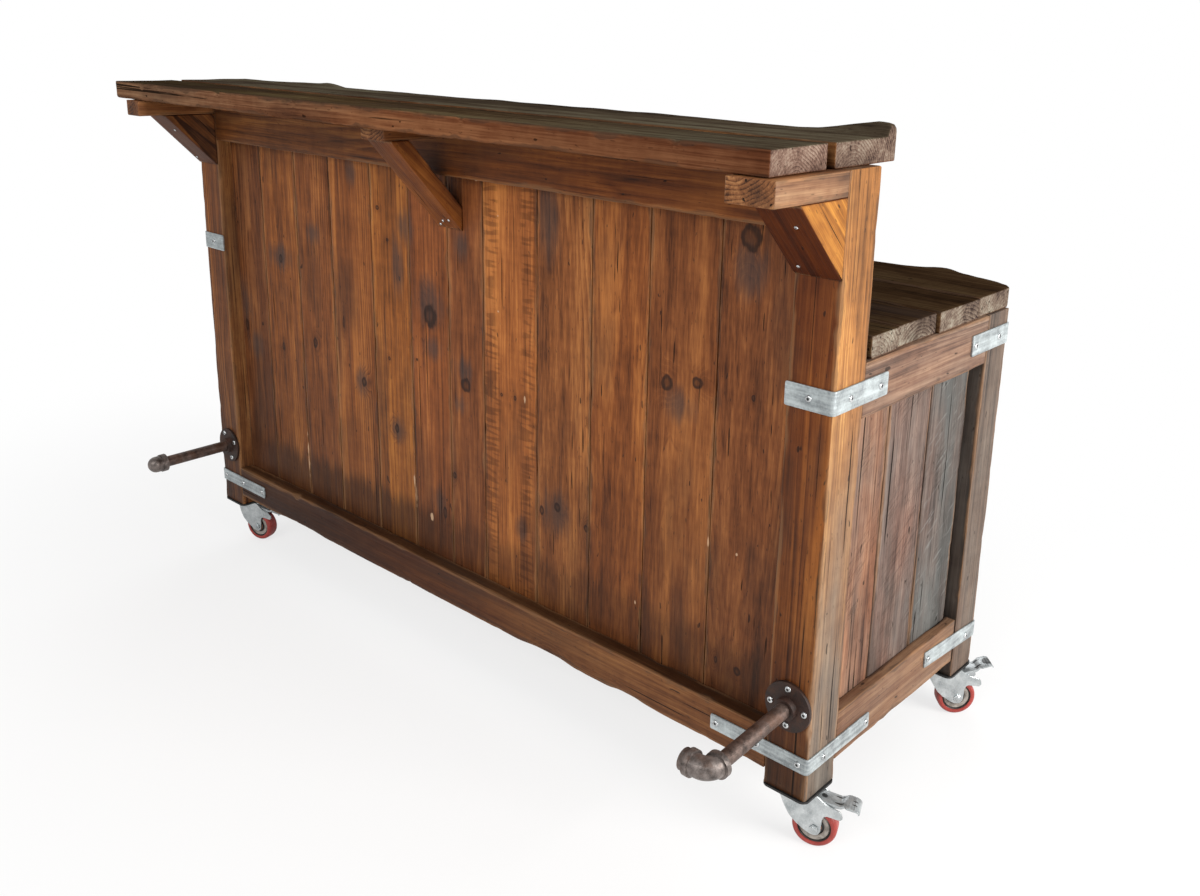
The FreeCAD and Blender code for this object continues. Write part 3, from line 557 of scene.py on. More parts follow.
def wood(name, grey=(0.11, 0.10, 0.088), ring=0.0070, ring_depth=0.30, rough=0.50, bump=0.35, cracks=0.5,
         saw=0.0, worn=(0.45, 0.22, 0.09), worn_share=0.25, knots=0.05, smoke=0.55, shine=0.15, marks=None):
    """One finish from the patterns above; each board's colour comes from its own tone. ring is the width of
    a year in metres, knots the share of cells with a knot, and marks gives a board marks of its own."""
    material, shader, where = new_material(name)
    g, tone = where.kept("grain", 1), where.kept("tone", 0)
    fade, rim, cut = tone.output(3), where.kept("rim"), where.kept("cut")
    cloud = {key: g.cloud(*row[:3]) for key, row in CLOUDS.items()}
    _, streak, line, fibre, blotch, smudge, _ = cloud.values()

    reach, chance = g.stretch(*KNOT_CELLS).cells()
    pick = chance.step(1 - knots, 1 - knots + 0.01)
    near, knot = ((1 - reach.step(*fades)) * pick for fades in (HALO, HEART))
    paint = None
    if marks is not None:
        near_marks, knot_marks, paint = marks(where, g)
        near, knot = near.math("MAXIMUM", near_marks), knot.math("MAXIMUM", knot_marks)

    bend = g.stretch(0.9, 5.0).noise(2.0, 0.5, 1).vector("MULTIPLY_ADD", (0.0, BENT, BENT), g)
    _, across, through = bend.parts()
    radius = (across * across + through * through).math("SQRT")
    phase = (radius / ring + g.cloud((2.0, 30.0), 1.0) * 1.6 + near * 2.8).math("FRACT")
    late = phase ** 3.0 * (1 - phase.step(0.88, 1.0))
    early = (1 - phase) ** 5.0 * phase.step(0.0, 0.06)
    shown = g.patch((0.9, 11.0), 0.36, 0.66)
    pale_lines = g.patch((0.4, 2.2), 0.515, 0.545)
    split = g.patch((1.6, 140.0), 0.74 - cracks * 0.07, 0.77 - cracks * 0.07)
    split = split * (blotch + 0.5).step(0.42, 0.56)
    speck = g.patch((70.0, 230.0), 0.70, 0.76)
    gouge = g.patch((36.0, 95.0), 0.745, 0.775)

    level = sum((cloud[key] * row[3] for key, row in CLOUDS.items()), 0.5)
    level = level - late * (shown * LATE_FACE * (1 - pale_lines * 1.7) + cut * LATE_END) * ring_depth
    level = level + early * shown * EARLY - near * 0.10
    colour = level.ramp((0.06, DARK), (0.47, WARM), (0.94, BRIGHT))
    soot = g.patch((2.4, 9.0), 0.50, 0.74, 3.0, 0.6) * smoke
    colour = colour.over(tone).tinted(soot, SMOKE)
    old = (fade + blotch * 1.6 * fade.step(0.0, 0.3)).math("MINIMUM", 1.0).math("MAXIMUM", 0.0)
    colour = old.blend(colour, (0.35 + level * 1.3).over(shell(grey)))
    height = fibre * 0.5 - late * 0.30 + streak * 0.7 + line * 0.5
    height = height - split * 2.0 - knot * 0.4 - speck * 0.4 - gouge * 1.2
    if saw:
        lean = g.node("ShaderNodeVectorRotate", {"rotation_type": "EULER_XYZ"},
                      {"Vector": g, "Rotation": SAW_LEAN})
        tooth = lean.patch((330.0, 20.0), 0.50, 0.66, 2.0, 0.6) * g.patch((9.0, 16.0), 0.42, 0.66) * saw
        pale = lean.patch((140.0, 16.0), 0.58, 0.70, 2.0, 0.7) * fade.step(0.45, 0.9) * saw
        colour = colour.tinted(tooth * 0.42, SMOKE).tinted(pale * 0.35, SAWN)
        height = height - tooth
    grime = (rim - 0.55 + smudge * 2.5).step(0.10, 0.60) * 0.55
    colour = colour.tinted(speck * 0.45, KNOT).tinted(gouge * 0.75, CRACK).tinted(grime, SMOKE)
    if paint is not None:
        colour = paint(colour, blotch, streak)
    bare = (rim - 0.40 + blotch * 1.6 + fibre * 0.9).step(0.30, 0.75) * worn_share
    colour = colour.tinted(knot * 0.85, KNOT).tinted(split * 0.9, CRACK).tinted(bare, worn)
    gloss = rough + streak * 0.35 + split * 0.3 + old * 0.22 + soot * 0.1
    dress(shader, colour, gloss, height, bump, WOOD_RELIEF)
    shader.inputs["Specular IOR Level"].default_value = shine
    return material


print("wood finish ready")

# %% [markdown]
# ## The front boards' own marks
# The front is what guests see, so its knots, stains and chips are set where the real ones are.
# Each mark is an ellipse on the front face: the distance from its middle, divided by its two radii.
# Mopping has darkened the lowest hand's breadth, and one board is left rough from the saw.

# %% Marks on the front, each with its place and two radii in millimetres
KNOTS = [(286, 815, 7, 12), (109, 616, 9, 18), (276, 592, 6, 11), (418, 629, 9, 15), (610, 574, 11, 13),
         (684, 988, 6, 6), (716, 921, 6, 5), (709, 651, 5, 5), (857, 776, 22, 28), (971, 648, 15, 17),
         (929, 432, 7, 9), (894, 333, 7, 15), (1682, 1057, 22, 24), (1516, 775, 14, 15), (1585, 790, 12, 12),
         (1122, 654, 4, 5), (1082, 652, 4, 4), (1244, 453, 10, 11), (1324, 433, 7, 8), (1200, 433, 7, 12),
         (1703, 791, 4, 6), (1650, 281, 4, 8), (1698, 277, 8, 10), (729, 489, 9, 12), (539, 703, 4, 17),
         (1828, 977, 4, 7), (1869, 587, 5, 30)]
STAINS = [(286, 820, 50, 35), (146, 575, 44, 44), (430, 897, 33, 30), (595, 1056, 26, 34), (774, 957, 31, 43),
          (749, 879, 24, 80), (728, 485, 37, 39), (858, 800, 43, 57), (865, 705, 37, 31), (966, 678, 26, 31),
          (949, 598, 26, 27), (874, 357, 28, 48), (963, 943, 31, 37), (1689, 1004, 42, 48), (1548, 740, 40, 40),
          (1219, 1033, 32, 80), (1244, 436, 61, 60), (1143, 374, 27, 31), (592, 573, 30, 44),
          (113, 668, 40, 90), (1845, 377, 25, 24), (1849, 345, 22, 30)]
CHIPS = [(847, 311, 5, 8), (787, 376, 3, 15), (792, 344, 2.4, 34), (1455, 323, 2.5, 6), (1622, 507, 2, 15),
         (1075, 1018, 4, 4), (1074, 825, 4, 3), (1150, 660, 3, 9), (1685, 500, 2.5, 3), (361, 324, 2, 60),
         (1014, 1082, 9, 2)]
ROUGH_STRIPES, WET_BAY = (1052, 1158), (190, 840)
STAINED, LOWER_DARK = (0.045, 0.036, 0.034), (0.030, 0.014, 0.009)
WET, CHIPPED = (0.028, 0.011, 0.005), (0.55, 0.36, 0.22)
LOWER_DARK_TOP, WET_TOP = (0.36, 0.74), (0.300, 0.352)  # metres above the floor between which each one fades
STRIPE_SIDES = (0.008, 0.030)                      # metres from its middle between which a rough stripe fades


def nearest_mark(where, marks):
    """Distance to the nearest mark, in radii, on the front face: a stretch and a shift put each mark's middle
    at zero, and the least length wins."""
    fields = []
    for x, z, rx, rz in marks:
        scale = np.array((1000 / rx, 0, 1000 / rz))
        shift = -place(x, 0, z) * scale
        fields.append(where.vector("MULTIPLY_ADD", tuple(scale), tuple(shift)).vector("LENGTH", out=1))
    return least(fields)


def front_marks(where, g):
    """The knots' nearness and dark hearts, and a function that paints stains, wet band, dashes and chips."""
    wobble = g.cloud((40.0, 70.0))
    field = nearest_mark(where, KNOTS) + wobble * 0.8
    near = 1 - field.step(0.6, 3.6)
    knot = (1 - field.step(0.80, 1.10)) * (0.55 + 0.45 * field.step(0.25, 0.65))

    def paint(colour, blotch, streak):
        x, _, z = where.parts()
        stain = nearest_mark(where, STAINS) + (blotch + streak) * 1.5
        # Darker towards the floor, fading in from about three quarters of a metre down to a third of a metre.
        lower_dark = 1 - (z + blotch * 0.5).step(*LOWER_DARK_TOP)
        wet = 1 - (z + blotch * 0.07 + streak * 0.06).step(*WET_TOP)
        left, right = (float(place(mm, 0, 0)[0]) for mm in WET_BAY)
        bay = x.step(left - 0.05, left + 0.03) * (1 - x.step(right - 0.03, right + 0.09))
        away = least([(x - float(place(mm, 0, 0)[0])).math("ABSOLUTE") for mm in ROUGH_STRIPES])
        dash = (1 - (away + blotch * 0.06).step(*STRIPE_SIDES)) * g.patch((125.0, 20.0), 0.46, 0.60, 0.0)
        chip = nearest_mark(where, CHIPS) + wobble * 2.5
        colour = colour.tinted((1 - stain.step(0.15, 1.25)) * 0.62, STAINED).tinted(lower_dark * 0.24, LOWER_DARK)
        colour = colour.tinted(wet * (0.41 + 0.29 * bay), WET).tinted(dash * 0.42, DARK)
        return colour.tinted((1 - chip.step(0.6, 1.1)) * 0.8, CHIPPED)

    return near, knot, paint


print("front marks", len(KNOTS), len(STAINS), len(CHIPS))

# %% [markdown]
# ## Wood finishes for this table
# All of it is the same oiled and stained softwood. The front is warm brown, the top and the counter are
# nearly black from use and dull, and the sides have gone grey in the weather.

# %% Wood finishes
plank_wood = wood("plank_wood", marks=front_marks, knots=0.0, smoke=0.45, ring=0.0085, ring_depth=0.46)
frame_wood = wood("frame_wood", knots=0.06, smoke=0.45, ring_depth=0.45)
post_wood = wood("post_wood", knots=0.03, smoke=0.45, ring=0.0090, ring_depth=0.55, cracks=0.9)
top_wood = wood("top_wood", rough=0.75, bump=0.6, cracks=0.9, ring=0.0055, worn=(0.24, 0.11, 0.055),
                worn_share=0.12, shine=0.0)
counter_wood = wood("counter_wood", rough=0.80, bump=0.7, cracks=1.0, worn=(0.24, 0.14, 0.09),
                    worn_share=0.12, shine=0.0)
side_wood = wood("side_wood", rough=0.66, grey=(0.082, 0.081, 0.077), bump=0.7, cracks=1.2, saw=0.9,
                 ring_depth=0.2, shine=0.08, smoke=0.75)
print("wood finishes", len(bpy.data.materials))

# %% [markdown]
# ## Posts and rails
# Four posts carry everything. The front ones reach the bar top, the rear ones stop under the counter.
# The front posts are darker towards the floor, and the right one's sides greyer there. That post's sides are
# painted lighter towards the top, where the light from the right falls, and the right rear post's inner face is
# painted dark as the shadow inside the table.


# %% Posts
def fill(name, axis, seed, paint, finish, slot, **more):
    """One board as large as the CAD node that it replaces, its length along axis."""
    Timber().plank(*bench(name), axis, seed, paint, **more).finish("_wood", finish, slot, name)


POST_END = (0.75, 1.2, 2.3)
POSTS = (
    ("post_front_left",
     graded(2, (150, 500, 900), ((0.30, 0.30, 0.34), (0.66, 0.66, 0.60), (0.75, 0.72, 0.60))),
     (0.90, 1.05, 1.15), 0.06),
    # Right front post: its front and sides are darker towards the floor; its sides are painted lighter towards
    # the top, as lit by the light from the right.
    ("post_front_right",
     graded(2, (120, 300, 420, 650, 950), ((0.24, 0.28, 0.38), (0.42, 0.38, 0.38), (0.68, 0.68, 0.64),
                                           (0.80, 0.69, 0.50), (0.50, 0.40, 0.33))),
     graded(2, (120, 260, 700, 900), ((0.50, 0.72, 1.0), (1.2, 1.65, 2.1), (1.2, 1.7, 2.3), (1.5, 2.05, 2.4))),
     sides_only(graded(2, (150, 420, 640, 900), ((0.70,), (0.55,), (0.25,), (0.0,))))),
    ("post_rear_left", (0.85, 0.95, 1.2), None, 0.5),
    # Right rear post: its face towards the front, inside the table, is painted dark as shadow.
    ("post_rear_right", graded(1, (DEPTH - 80, DEPTH - 60), ((0.14, 0.16, 0.25), (0.85, 1.0, 1.3))),
     (0.72, 1.32, 3.3), 0.5))
for number, (name, front, side, grey) in enumerate(POSTS):
    fill(name, 2, 11 + number, tones(front, side, end=POST_END, grey=grey), post_wood, "frame_wood",
         wear=3.0, wave=0.8, knocks=8, slope=0.01, pith=(-70, -10))

# %% [markdown]
# The kick rail keeps a little of the tree's edge along its foot, where steps were split off.

# %% Rails and arms
STEPS_OFF = ((1252, 60, 6), (1470, 36, 5), (360, 90, 4))  # place along X, half length and height
WANE_DEEP, WANE_HIGH = 14, 12


def waney_foot(p):
    """Raises the lower front edge of the kick rail in steps: each step is a smooth rise and fall along X."""
    q = p.copy()
    low, _ = bench("kick_rail")
    rise = sum(height * np.exp(-((q[:, 0] - x) / half) ** 4) for x, half, height in STEPS_OFF)
    front = np.clip((low[1] + WANE_DEEP - q[:, 1]) / WANE_DEEP, 0, 1)
    foot = np.clip((low[2] + WANE_HIGH - q[:, 2]) / WANE_HIGH, 0, 1)
    q[:, 2] += rise * front * foot
    return q


APRON = graded(0, (400, 1150, 1550), ((0.80, 0.86, 0.85), (0.83, 0.73, 0.50), (0.66, 0.57, 0.45)))
# The kick rail is darker towards its left end. Its top face takes a dark tone, partly its own dark colour and
# partly painted shade.
KICK = graded(0, (90, 500, 1000, 1500, 1800), ((0.13, 0.12, 0.15), (0.15, 0.13, 0.15), (0.24, 0.19, 0.18),
                                               (0.64, 0.74, 0.95), (0.70, 0.85, 1.1)))
RAILS = (
    ("apron_rail", 0, tones(APRON, under=(0.5, 0.5, 0.5), grey=0.02)),
    ("kick_rail", 0, tones(KICK, upper=(0.22, 0.25, 0.33), grey=0.02)),
    ("side_rail_top_left", 1, tones((0.80, 1.35, 3.2), grey=0.3)),
    ("side_rail_top_right", 1, tones((0.86, 1.50, 3.8), grey=0.22)),
    ("side_rail_low_left", 1, tones((0.72, 1.2, 2.6), grey=0.25)),
    ("side_rail_low_right", 1, tones((0.68, 1.02, 2.1), grey=0.15)),
    ("back_rail_top", 0, tones((0.85, 0.95, 1.1), grey=0.3)),
    ("back_rail_low", 0, tones((0.85, 0.95, 1.1), grey=0.3)),
    ("arm_right", 1, tones((1.08, 1.4, 2.05), (1.05, 1.72, 3.6), end=(1.08, 1.4, 2.1))),
    ("arm_left", 1, tones((0.82, 0.90, 1.0), (0.95, 1.15, 1.5), end=(0.85, 1.05, 1.5))),
    ("arm_middle", 1, tones((0.75, 0.82, 0.9), (0.90, 1.05, 1.3), end=(0.85, 1.05, 1.5))))
for number, (name, axis, paint) in enumerate(RAILS):
    own = {"shape": waney_foot, "step": 9} if name == "kick_rail" else {}
    fill(name, axis, 31 + number, paint, frame_wood, "frame_wood", wear=2.4, **own)

# %% [markdown]
# ## Boards of the front and the sides
# Twelve planks of different widths stand behind the apron and the kick rail, and three in each side. No two
# have the same colour, so each gets a tone of its own, and some of them a heart where the arches ask for it.

# %% Front and side planks
PLANK_SHARES = (0, 0.0765, 0.1632, 0.2452, 0.3355, 0.4140, 0.4890, 0.5535, 0.6449, 0.7305, 0.8119, 0.9027, 1)
PLANK_TONES = (
    (0.62, 0.62, 0.70), (1.03, 1.02, 0.88), (1.02, 1.00, 0.95), (1.08, 1.04, 0.90), (1.35, 1.36, 0.98),
    (1.18, 1.10, 1.03), (1.00, 0.97, 1.02), (1.60, 1.60, 1.42), (1.13, 1.17, 1.20), (1.06, 0.99, 0.86),
    (0.92, 0.89, 0.88), (0.87, 0.86, 0.94))
PLANK_HEARTS = {7: (10, -14, 0.02), 8: (-14, -36, 0.065), 9: (12, -38, -0.07), 10: (4, -34, 0.055),
                11: (-6, -38, -0.08)}
SIDE_SHARES = (0, 0.2956, 0.6383, 0.9698)
SIDE_TONES = (((1.12, 1.50, 3.0), 0.42), ((0.95, 1.58, 4.4), 0.56), ((0.68, 1.18, 3.4), 0.88))
PLANK_GAP, SIDE_GAP = 1.8, 3.0


def side_by_side(name, axis, shares, gap):
    """Boxes of the planks that share a CAD node's box along axis: the shares, less half a gap at each joint."""
    low, high = bench(name)
    edges = low[axis] + np.array(shares) * ((high[axis] - low[axis]) / shares[-1])
    for k, (start, end) in enumerate(zip(edges, edges[1:])):
        first, last = low.copy(), high.copy()
        first[axis] = start + (gap / 2 if k else 0)
        last[axis] = end - (gap / 2 if k < len(shares) - 2 else 0)
        yield first, last


timber = Timber()
for k, box in enumerate(side_by_side("front_planks", 0, PLANK_SHARES, PLANK_GAP)):
    *heart, slope = PLANK_HEARTS.get(k, (None,))
    timber.plank(*box, 2, 71 + k, tones(PLANK_TONES[k], grey=0.03), wear=0.9, pith=heart or None, slope=slope,
                 knocks=2)
timber.finish("_wood", plank_wood, "plank_wood", "front_planks")
for name, seed in (("side_planks_left", 91), ("side_planks_right", 97)):
    timber = Timber()
    for k, box in enumerate(side_by_side(name, 1, SIDE_SHARES, SIDE_GAP)):
        colour, grey = SIDE_TONES[k]
        timber.plank(*box, 2, seed + k, tones(colour, grey=grey), knocks=8)
    timber.finish("_wood", side_wood, "weathered_wood", name)

# %% [markdown]
# ## Bar top
# Two thick planks with a gap between them. The rear edge of the rear plank is the tree's own edge:
# it rises a little near the left end and stands up like a horn at the right end, so the raised edge and
# the plank are one skin. Elbows and glasses have left notches along the front edge.

# %% Bar top
LIP = ((0, 0), (0.060, 0), (0.114, 0.12), (0.205, 0.40), (0.218, 0.29), (0.237, 0), (0.450, 0), (0.522, 0.12),
       (0.670, 0.17), (0.797, 0.17), (0.908, 0.10), (0.929, 0.19), (0.947, 0.43), (0.966, 0.71), (0.987, 1.0),
       (0.994, 0.97), (1.0, 0.85))
TOP_LOW, TOP_HIGH = bench("bar_plank_rear")
LIP_RISE = bench("bar_rear_lip")[1][2] - TOP_HIGH[2]
LIP_IN, LIP_EASE, LIP_ROUND, TOP_SKIN = 27, 9, 13, 8  # from the rear edge inwards, and down from the top
NOTCHES = ((419, 8, 7), (430, 5, 5), (713, 9, 6), (1221, 6, 4), (1690, 7, 5), (90, 8, 4))
NOTCH_REACH, NOTCH_DOWN = 12.0, 0.7


def rear_plank_shape(p):
    """Lifts the top face near the rear edge by the raised edge's height there, and rounds the horn towards
    the rear, as a quarter circle seen from the side."""
    q = p.copy()
    share = (q[:, 0] - TOP_LOW[0]) / (TOP_HIGH[0] - TOP_LOW[0])
    rise = LIP_RISE * np.interp(share, *np.transpose(LIP))
    inner = np.clip((q[:, 1] - (TOP_HIGH[1] - LIP_IN)) / LIP_EASE, 0, 1)
    outer = np.clip((q[:, 1] - (TOP_HIGH[1] - LIP_ROUND)) / LIP_ROUND, 0, 1)
    lift = rise * inner * inner * (3 - 2 * inner)
    lift = lift - np.minimum(rise, LIP_ROUND) * (1 - np.sqrt(1 - outer * outer))
    q[:, 2] += lift * np.clip((q[:, 2] - (TOP_HIGH[2] - TOP_SKIN)) / TOP_SKIN, 0, 1)
    return q


def notched(p):
    """Pushes the upper front edge in at each notch by a bell curve along X."""
    q = p.copy()
    low, high = bench("bar_plank_front")
    bite = sum(depth * np.exp(-((q[:, 0] - x) / width) ** 2) for x, width, depth in NOTCHES)
    near = np.exp(-((q[:, 1] - low[1]) ** 2 + (q[:, 2] - high[2]) ** 2) / NOTCH_REACH ** 2)
    q[:, 1] += bite * near
    q[:, 2] -= bite * near * NOTCH_DOWN
    return q


BAR_PAINT = tones(
    graded(0, (300, 1000, 1650), ((0.70, 1.05, 2.2), (0.66, 0.76, 1.3), (0.48, 0.54, 0.95))), (0.8, 1.2, 2.4),
    graded(0, (300, 900, 1700), ((0.16, 0.32, 0.62), (0.34, 0.68, 1.25), (0.23, 0.54, 1.35))),
    (0.45, 0.42, 0.40), (0.73, 1.48, 4.4))
REAR_PAINT = tones((0.55, 0.7, 1.0), (0.8, 1.2, 2.4), (0.29, 0.70, 1.80), (0.45, 0.42, 0.40), (0.66, 1.45, 4.3))
fill("bar_plank_front", 0, 201, BAR_PAINT, top_wood, "bar_top_wood", wear=4.0, wave=1.2, step=6, side_step=9,
     pith=(10, -26), slope=0.004, shape=notched, knocks=10)
Timber().plank(TOP_LOW, TOP_HIGH, 0, 202, REAR_PAINT, wear=3.0, wave=1.2, step=8, side_step=4, slope=0.004,
               shape=rear_plank_shape, pith=(-20, -30)).finish(
    "_wood", top_wood, "bar_top_wood", "bar_plank_rear", "bar_rear_lip")

# %% [markdown]
# ## Counter
# Four planks across the posts. The last one keeps the tree's edge, with a bulge near the right end.
# They were never cut to one line, so their right ends stand a little apart.

# %% Counter planks
LIVE_SHARES = (0, 0.10, 0.25, 0.40, 0.55, 0.70, 0.833, 0.868, 0.882, 0.897, 0.909, 0.928, 0.946, 0.966, 0.979,
               0.992, 1)
LIVE_BULGES = (-0.29, -0.07, 0.07, -0.07, -0.14, -0.04, 0.11, 0.32, 0.54, 0.98, 1.0, 0.66, 0.45, 0.20, 0.07,
               -0.14, -0.59)
LIVE_BULGE, LIVE_WIDTH, LIVE_FROM = 56, 158, 70
SHORTENED = ((3, 1), (0, 5), (6, 0), (2, 3))  # what each plank lacks at its left and right end
COUNTER_PAINT = tones((0.32, 0.5, 0.85), None, (0.16, 0.27, 0.47), (0.45, 0.45, 0.5), (0.69, 1.66, 5.0), 0.02)


def live_edge(p):
    """Moves the rear face to the tree's edge: the offset grows from the plank's middle to its rear."""
    low, high = bench("counter_plank_4")
    q = p.copy()
    offset = LIVE_BULGE * np.interp((q[:, 0] - low[0]) / (high[0] - low[0]), LIVE_SHARES, LIVE_BULGES) - 1.0
    middle = low[1] + LIVE_FROM
    q[:, 1] += offset * np.clip((q[:, 1] - middle) / (low[1] + LIVE_WIDTH - middle), 0, 1)
    return q


for k, (left, right) in enumerate(SHORTENED):
    name = "counter_plank_" + str(k + 1)
    low, high = bench(name)
    own = {}
    if k == 3:
        high[1] = low[1] + LIVE_WIDTH
        own = {"shape": live_edge}
    Timber().plank(low + (left, 0, 0), high - (right, 0, 0), 0, 211 + k, COUNTER_PAINT, wear=4.0, wave=1.5,
                   step=12, slope=0.006, knocks=9, side_step=9, **own).finish(
        "_wood", counter_wood, "counter_wood", name)

# %% [markdown]
# ## Knees, brace and bearers
# The knees are three-sided blocks whose grain follows their slanted face. The middle brace is a
# slanted board from the bar's bracket down to the front planks.

# %% Slanted pieces
DOWNWARDS = (0, 1, -1)   # the grain runs down towards the staff side
BRACE_HEEL, BRACE_TOE, BEARER = 45, 49, 44
# The knees' slanted faces look down under the bar top and are painted darker, as shade. The right knee's sides
# are painted lighter, as lit by the light from the right.
LEFT_SHADED, RIGHT_SHADED, RIGHT_LIT = (0.50, 0.42, 0.34), (0.31, 0.18, 0.04), (1.36, 1.64, 1.12)
SLANTED = (
    ("knee_left", 221, tones(LEFT_SHADED, (1.0, 1.1, 1.1), under=LEFT_SHADED), 1.4, 8),
    ("knee_right", 222, tones(RIGHT_SHADED, RIGHT_LIT, under=RIGHT_SHADED, end=RIGHT_LIT), 1.4, 8),
    ("middle_brace", 223, tones((0.62, 0.52, 0.40), (0.92, 0.88, 0.78), under=(0.56, 0.46, 0.33)), 2.0, 5))
for name, seed, paint, wear, knocks in SLANTED:
    low, high = bench(name)
    outline = [(low[1], high[2]), (high[1], low[2]), (high[1], high[2])]
    if name == "middle_brace":
        outline[2:] = [(high[1], low[2] + BRACE_TOE), (low[1] + BRACE_HEEL, high[2])]
    Timber().board(0, low[0], high[0], outline, seed, paint, wear=wear, wave=0.4, step=9, side_step=9,
                   grain_axis=DOWNWARDS, knocks=knocks).finish("_wood", frame_wood, "frame_wood", name)
low, high = bench("counter_bearers")
timber = Timber()
for x in (low[0], high[0] - BEARER):
    timber.plank((x, low[1], low[2]), (x + BEARER, high[1], high[2]), 1, 225, tones((0.8, 0.9, 1.0), grey=0.3))
timber.finish("_wood", frame_wood, "frame_wood", "counter_bearers")

# %% [markdown]
# ## Metals
# Galvanised steel shows zinc crystals of different greys and dull streaks. The pipe fittings are brown
# oxidised iron with rust in the hollows. Screws are zinc plated, with painted shade in their recess.

# %% Metal finishes
# The second colour here is near black: painted shade in screw recesses and pedal slots, and the black of the
# rear pedals' grips.
RUST, SHADE_AND_GRIP = (0.115, 0.048, 0.022), (0.02, 0.02, 0.02)
CRYSTALS, RUST_SPOTS = 170.0, 26.0  # to a metre
SPECKS = 9.0                        # times finer than the clouds
METAL_RELIEF = 0.0006


def metal(name, dark, light, rough=0.4, grain=60.0, crystals=0.0, rust=0.0, bump=0.2, metallic=1.0, brush=None,
          mask=None):
    """Cloudy metal between a dark and a light colour. brush stretches the cloud along one axis, crystals adds
    cells of different greys, rust adds patches, and mask paints near black where it covers: painted shade in
    screw recesses and pedal slots, and the black of grips."""
    material, shader, where = new_material(name)
    cloud = where.cloud((grain,), 3.0, 0.6)
    level = 0.5 + cloud * 1.6 + where.cloud((grain * SPECKS,), 2.0, 0.6) * 0.7
    if brush is not None:
        level = level + where.cloud(brush, 2.0, 0.6) * 1.2
    if crystals:
        level = level + (where.stretch(CRYSTALS).cells()[1] - 0.5) * crystals
    colour = level.ramp((0.12, dark), (0.88, light))
    gloss = rough + cloud * 0.35
    if rust:
        patch = where.patch((RUST_SPOTS,), 0.50, 0.62, 4.0, 0.65) * rust
        colour = colour.tinted(patch, RUST)
        gloss = gloss + patch * 0.25
    if mask is not None:
        colour = colour.tinted(mask(where), SHADE_AND_GRIP)
    dress(shader, colour, gloss, level, bump, METAL_RELIEF)
    shader.inputs["Metallic"].default_value = metallic
    return material


def recess_shade(where):
    """Painted shade in a screw's recess, whose depth the skin keeps at each point."""
    return where.kept("pit") * 0.9


galvanised = metal("galvanised_steel", (0.20, 0.22, 0.23), (0.50, 0.55, 0.56), 0.48, 26.0, crystals=0.10,
                   brush=(9.0, 9.0, 160.0), metallic=0.55)
zinc = metal("zinc_steel", (0.33, 0.36, 0.37), (0.62, 0.65, 0.66), 0.32, 50.0)
screw_zinc = metal("screw_zinc", (0.40, 0.42, 0.43), (0.75, 0.77, 0.78), 0.28, 90.0, mask=recess_shade)
iron = metal("brown_iron", (0.030, 0.020, 0.016), (0.180, 0.125, 0.105), 0.42, rust=0.4, bump=0.8,
             metallic=0.55)
elbow_iron = metal("elbow_iron", (0.047, 0.037, 0.033), (0.250, 0.212, 0.196), 0.40, 70.0, rust=0.3, bump=0.8,
                   metallic=0.55)
flange_iron = metal("flange_iron", (0.0090, 0.0040, 0.0025), (0.046, 0.0175, 0.0100), 0.62, rust=0.2, bump=0.7,
                    metallic=0.2)
black = metal("dark_steel", (0.010, 0.010, 0.010), (0.03, 0.03, 0.03), 0.5, 80.0, metallic=0.3)
print("metal finishes ready")

# %% [markdown]
# ## Straps
# Each strap is flat bar, galvanised, bent round a post and screwed on. A smith bends it over a round edge,
# so its corner has a radius of its own. The bar's section is carried along a line that goes straight,
# round a quarter circle and straight again.

# %% Bent straps
STRAP_T, BEND_R, ARRIS, TIP_R = 3.0, 6.5, 0.7, 3
TIP_STATIONS, LEG_FROM, LEG_STEP, BEND_STATIONS = (0, 0.4, 1.0, 2.0, 3.0), 6.0, 4.0, 10
SLANT_RUN = 220


def bend_line(start, corner, end):
    """Middle line of the strap, its outward direction, and how far each station is from an end: straight, a
    quarter circle whose centre lies one radius inside both legs, straight. Stations crowd at the two ends."""
    start, corner, end = (np.array(v, float) for v in (start, corner, end))
    reach = [np.linalg.norm(v - corner) for v in (start, end)]
    a, b = (start - corner) / reach[0], (end - corner) / reach[1]
    first, last = (np.concatenate([TIP_STATIONS, np.arange(LEG_FROM, r - BEND_R, LEG_STEP)]) for r in reach)
    last = last[::-1]
    t = np.linspace(0, math.pi / 2, BEND_STATIONS)[:, None]
    spoke = -(b * np.cos(t) + a * np.sin(t))
    points = np.concatenate([start - a * first[:, None], corner + BEND_R * (a + b) + BEND_R * spoke,
                             end - b * last[:, None]])
    out = np.concatenate([np.broadcast_to(-b, (len(first), 2)), spoke, np.broadcast_to(-a, (len(last), 2))])
    return points, out, np.concatenate([first, np.full(BEND_STATIONS, LEG_FROM), last])


def strap(name, height, start, corner, end, rise, mirrored):
    """Rings of one strap: its section has rounded arrises, its ends narrow along a quarter circle, and it may
    climb towards the front by its rise."""
    points, out, from_end = bend_line(start, corner, end)
    half = height / 2
    corners = [(-STRAP_T / 2, -half), (STRAP_T / 2, -half), (STRAP_T / 2, half), (-STRAP_T / 2, half)]
    section, _, _ = section_rings(corners, np.full((len(points), 4), ARRIS), 3, 6)
    round_off = TIP_R - np.sqrt(TIP_R ** 2 - np.clip(TIP_R - from_end, 0, TIP_R) ** 2)
    plan = points[:, None] + out[:, None] * section[..., :1]
    up = bench(name)[0][2] + half + section[..., 1:] * ((half - round_off) / half)[:, None, None]
    up = up + rise * np.clip((DEPTH - plan[..., 1:]) / SLANT_RUN, 0, 1)
    if mirrored:
        plan[..., 0] = LENGTH - plan[..., 0]
    return np.concatenate([plan, up], 2)


